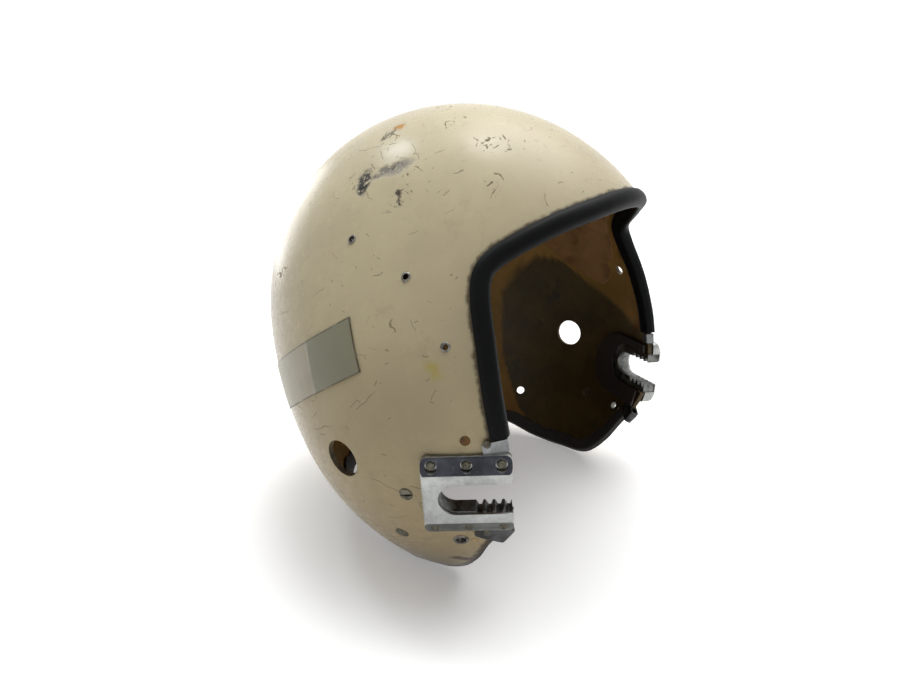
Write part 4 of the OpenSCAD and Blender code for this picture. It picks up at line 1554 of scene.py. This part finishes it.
@dataclass(frozen=True)
class Stage:
    """Floor, soft light and camera."""

    aim: tuple[float, float, float] = (0.0, -0.002972, 0.100535)
    toward: tuple[float, float, float] = (-0.75699, -0.56802, 0.32293)
    distance: float = 0.403647
    lens: float = 24.84
    horizon: float = 0.02
    ceiling: float = 6.6
    ceiling_power: float = 10.0
    ceiling_way: tuple[float, float, float] = (0.36, 0.02, 0.93)
    floor_glow: float = 0.3
    lamps: tuple[Lamp, ...] = (
        Lamp("window", (0.008, 0.604, 0.797), 1.5, 0.25, 2.8, (0.86, 0.94, 1.0)),
        Lamp("ceiling_lamp", (0.138, 0.138, 0.981), 1.5, 0.4, 3.0),
        Lamp("low_rear", (0.2, 0.86, 0.12), 1.7, 0.8, 5.0),
    )

    @staticmethod
    def step(tree: bpy.types.NodeTree, op: str, a: object, b: object) -> bpy.types.NodeSocket:
        """One math node of a tree."""
        made = tree.nodes.new("ShaderNodeMath")
        made.operation = op
        for socket, value in zip(made.inputs, (a, b)):
            if isinstance(value, bpy.types.NodeSocket):
                tree.links.new(value, socket)
            else:
                socket.default_value = value
        return made.outputs[0]

    @classmethod
    def seen(cls, tree: bpy.types.NodeTree) -> bpy.types.NodeSocket:
        """Is 1 for the rays that show the background: camera, glossy and transmission."""
        ray = tree.nodes.new("ShaderNodeLightPath").outputs
        bounced = cls.step(tree, "MAXIMUM", ray["Is Glossy Ray"], ray["Is Transmission Ray"])
        return cls.step(tree, "MAXIMUM", ray["Is Camera Ray"], bounced)

    def floor(self) -> None:
        """A plain pale floor under the helmet."""
        g = Graph("pale_floor")
        seen = self.seen(g.tree)
        g.surface(Base_Color=g.mix(seen, srgb(212, 206, 196), srgb(246, 246, 246)), Roughness=0.95)
        g.put(g.bsdf.inputs["Specular IOR Level"], 0.0)
        g.put(g.bsdf.inputs["Emission Color"], (1.0, 1.0, 1.0, 1.0))
        g.put(g.bsdf.inputs["Emission Strength"], g.math("MULTIPLY", seen, self.floor_glow))
        mesh = bpy.data.meshes.new("floor")
        far = 30.0
        mesh.from_pydata([(-far, -far, 0), (far, -far, 0), (far, far, 0), (-far, far, 0)], [], [(0, 1, 2, 3)])
        mesh.materials.append(g.material)
        show("floor", mesh)

    def light(self) -> None:
        """The world and the lamps."""
        scene = bpy.context.scene
        scene.world = bpy.data.worlds.new("soft_room")
        scene.world.use_nodes = True
        tree = scene.world.node_tree
        # a dark horizon under a bright ceiling; the camera and every gloss see plain white
        lean = tree.nodes.new("ShaderNodeVectorMath")
        lean.operation = "DOT_PRODUCT"
        tree.links.new(tree.nodes.new("ShaderNodeTexCoord").outputs["Generated"], lean.inputs[0])
        lean.inputs[1].default_value = Vector(self.ceiling_way).normalized()
        up = self.step(tree, "MAXIMUM", lean.outputs["Value"], 0.0)
        glow = self.step(tree, "MULTIPLY", self.step(tree, "POWER", up, self.ceiling_power), self.ceiling)
        room = self.step(tree, "ADD", glow, self.horizon)
        back = tree.nodes["Background"]
        back.inputs[0].default_value = (1.0, 1.0, 1.0, 1.0)
        tree.links.new(self.step(tree, "MAXIMUM", room, self.seen(tree)), back.inputs[1])
        for lamp in self.lamps:
            data = bpy.data.lights.new(lamp.name, "AREA")
            data.shape, data.size, data.energy, data.color = "DISK", lamp.size, lamp.watts, lamp.colour
            obj = bpy.data.objects.new(lamp.name, data)
            d = Vector(lamp.way).normalized()
            obj.location = Vector(self.aim) + d * lamp.distance
            obj.rotation_euler = d.to_track_quat("Z", "Y").to_euler()
            scene.collection.objects.link(obj)

    def camera(self) -> None:
        """The camera that sees the right front."""
        data = bpy.data.cameras.new("view")
        data.lens, data.sensor_width = self.lens, 36.0
        data.clip_start, data.clip_end = 0.01, 100.0
        obj = bpy.data.objects.new("view", data)
        d = Vector(self.toward).normalized()
        obj.location = Vector(self.aim) + d * self.distance
        obj.rotation_euler = d.to_track_quat("Z", "Y").to_euler()
        bpy.context.scene.collection.objects.link(obj)
        bpy.context.scene.camera = obj

    def build(self) -> None:
        """Sets up the whole stage."""
        self.floor()
        self.light()
        self.camera()
        bpy.context.scene.view_settings.view_transform = "Standard"


def main() -> None:
    """Builds every sub-assembly in order."""
    logging.basicConfig(level=logging.INFO, format="%(name)s %(message)s")
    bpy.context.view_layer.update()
    skin = Skin()
    edge = Edge(skin)
    palette = Palette(skin)
    made: list[bpy.types.Object] = []
    for assembly in (Shell, Trim, Hardware):
        pieces = assembly(skin, edge, palette).build()
        LOG.info("%s: %d pieces", assembly.__name__, len(pieces))
        made += pieces
    Stage().build()
    LOG.info("%d pieces in all", len(made))


if __name__ == "__main__":
    main()
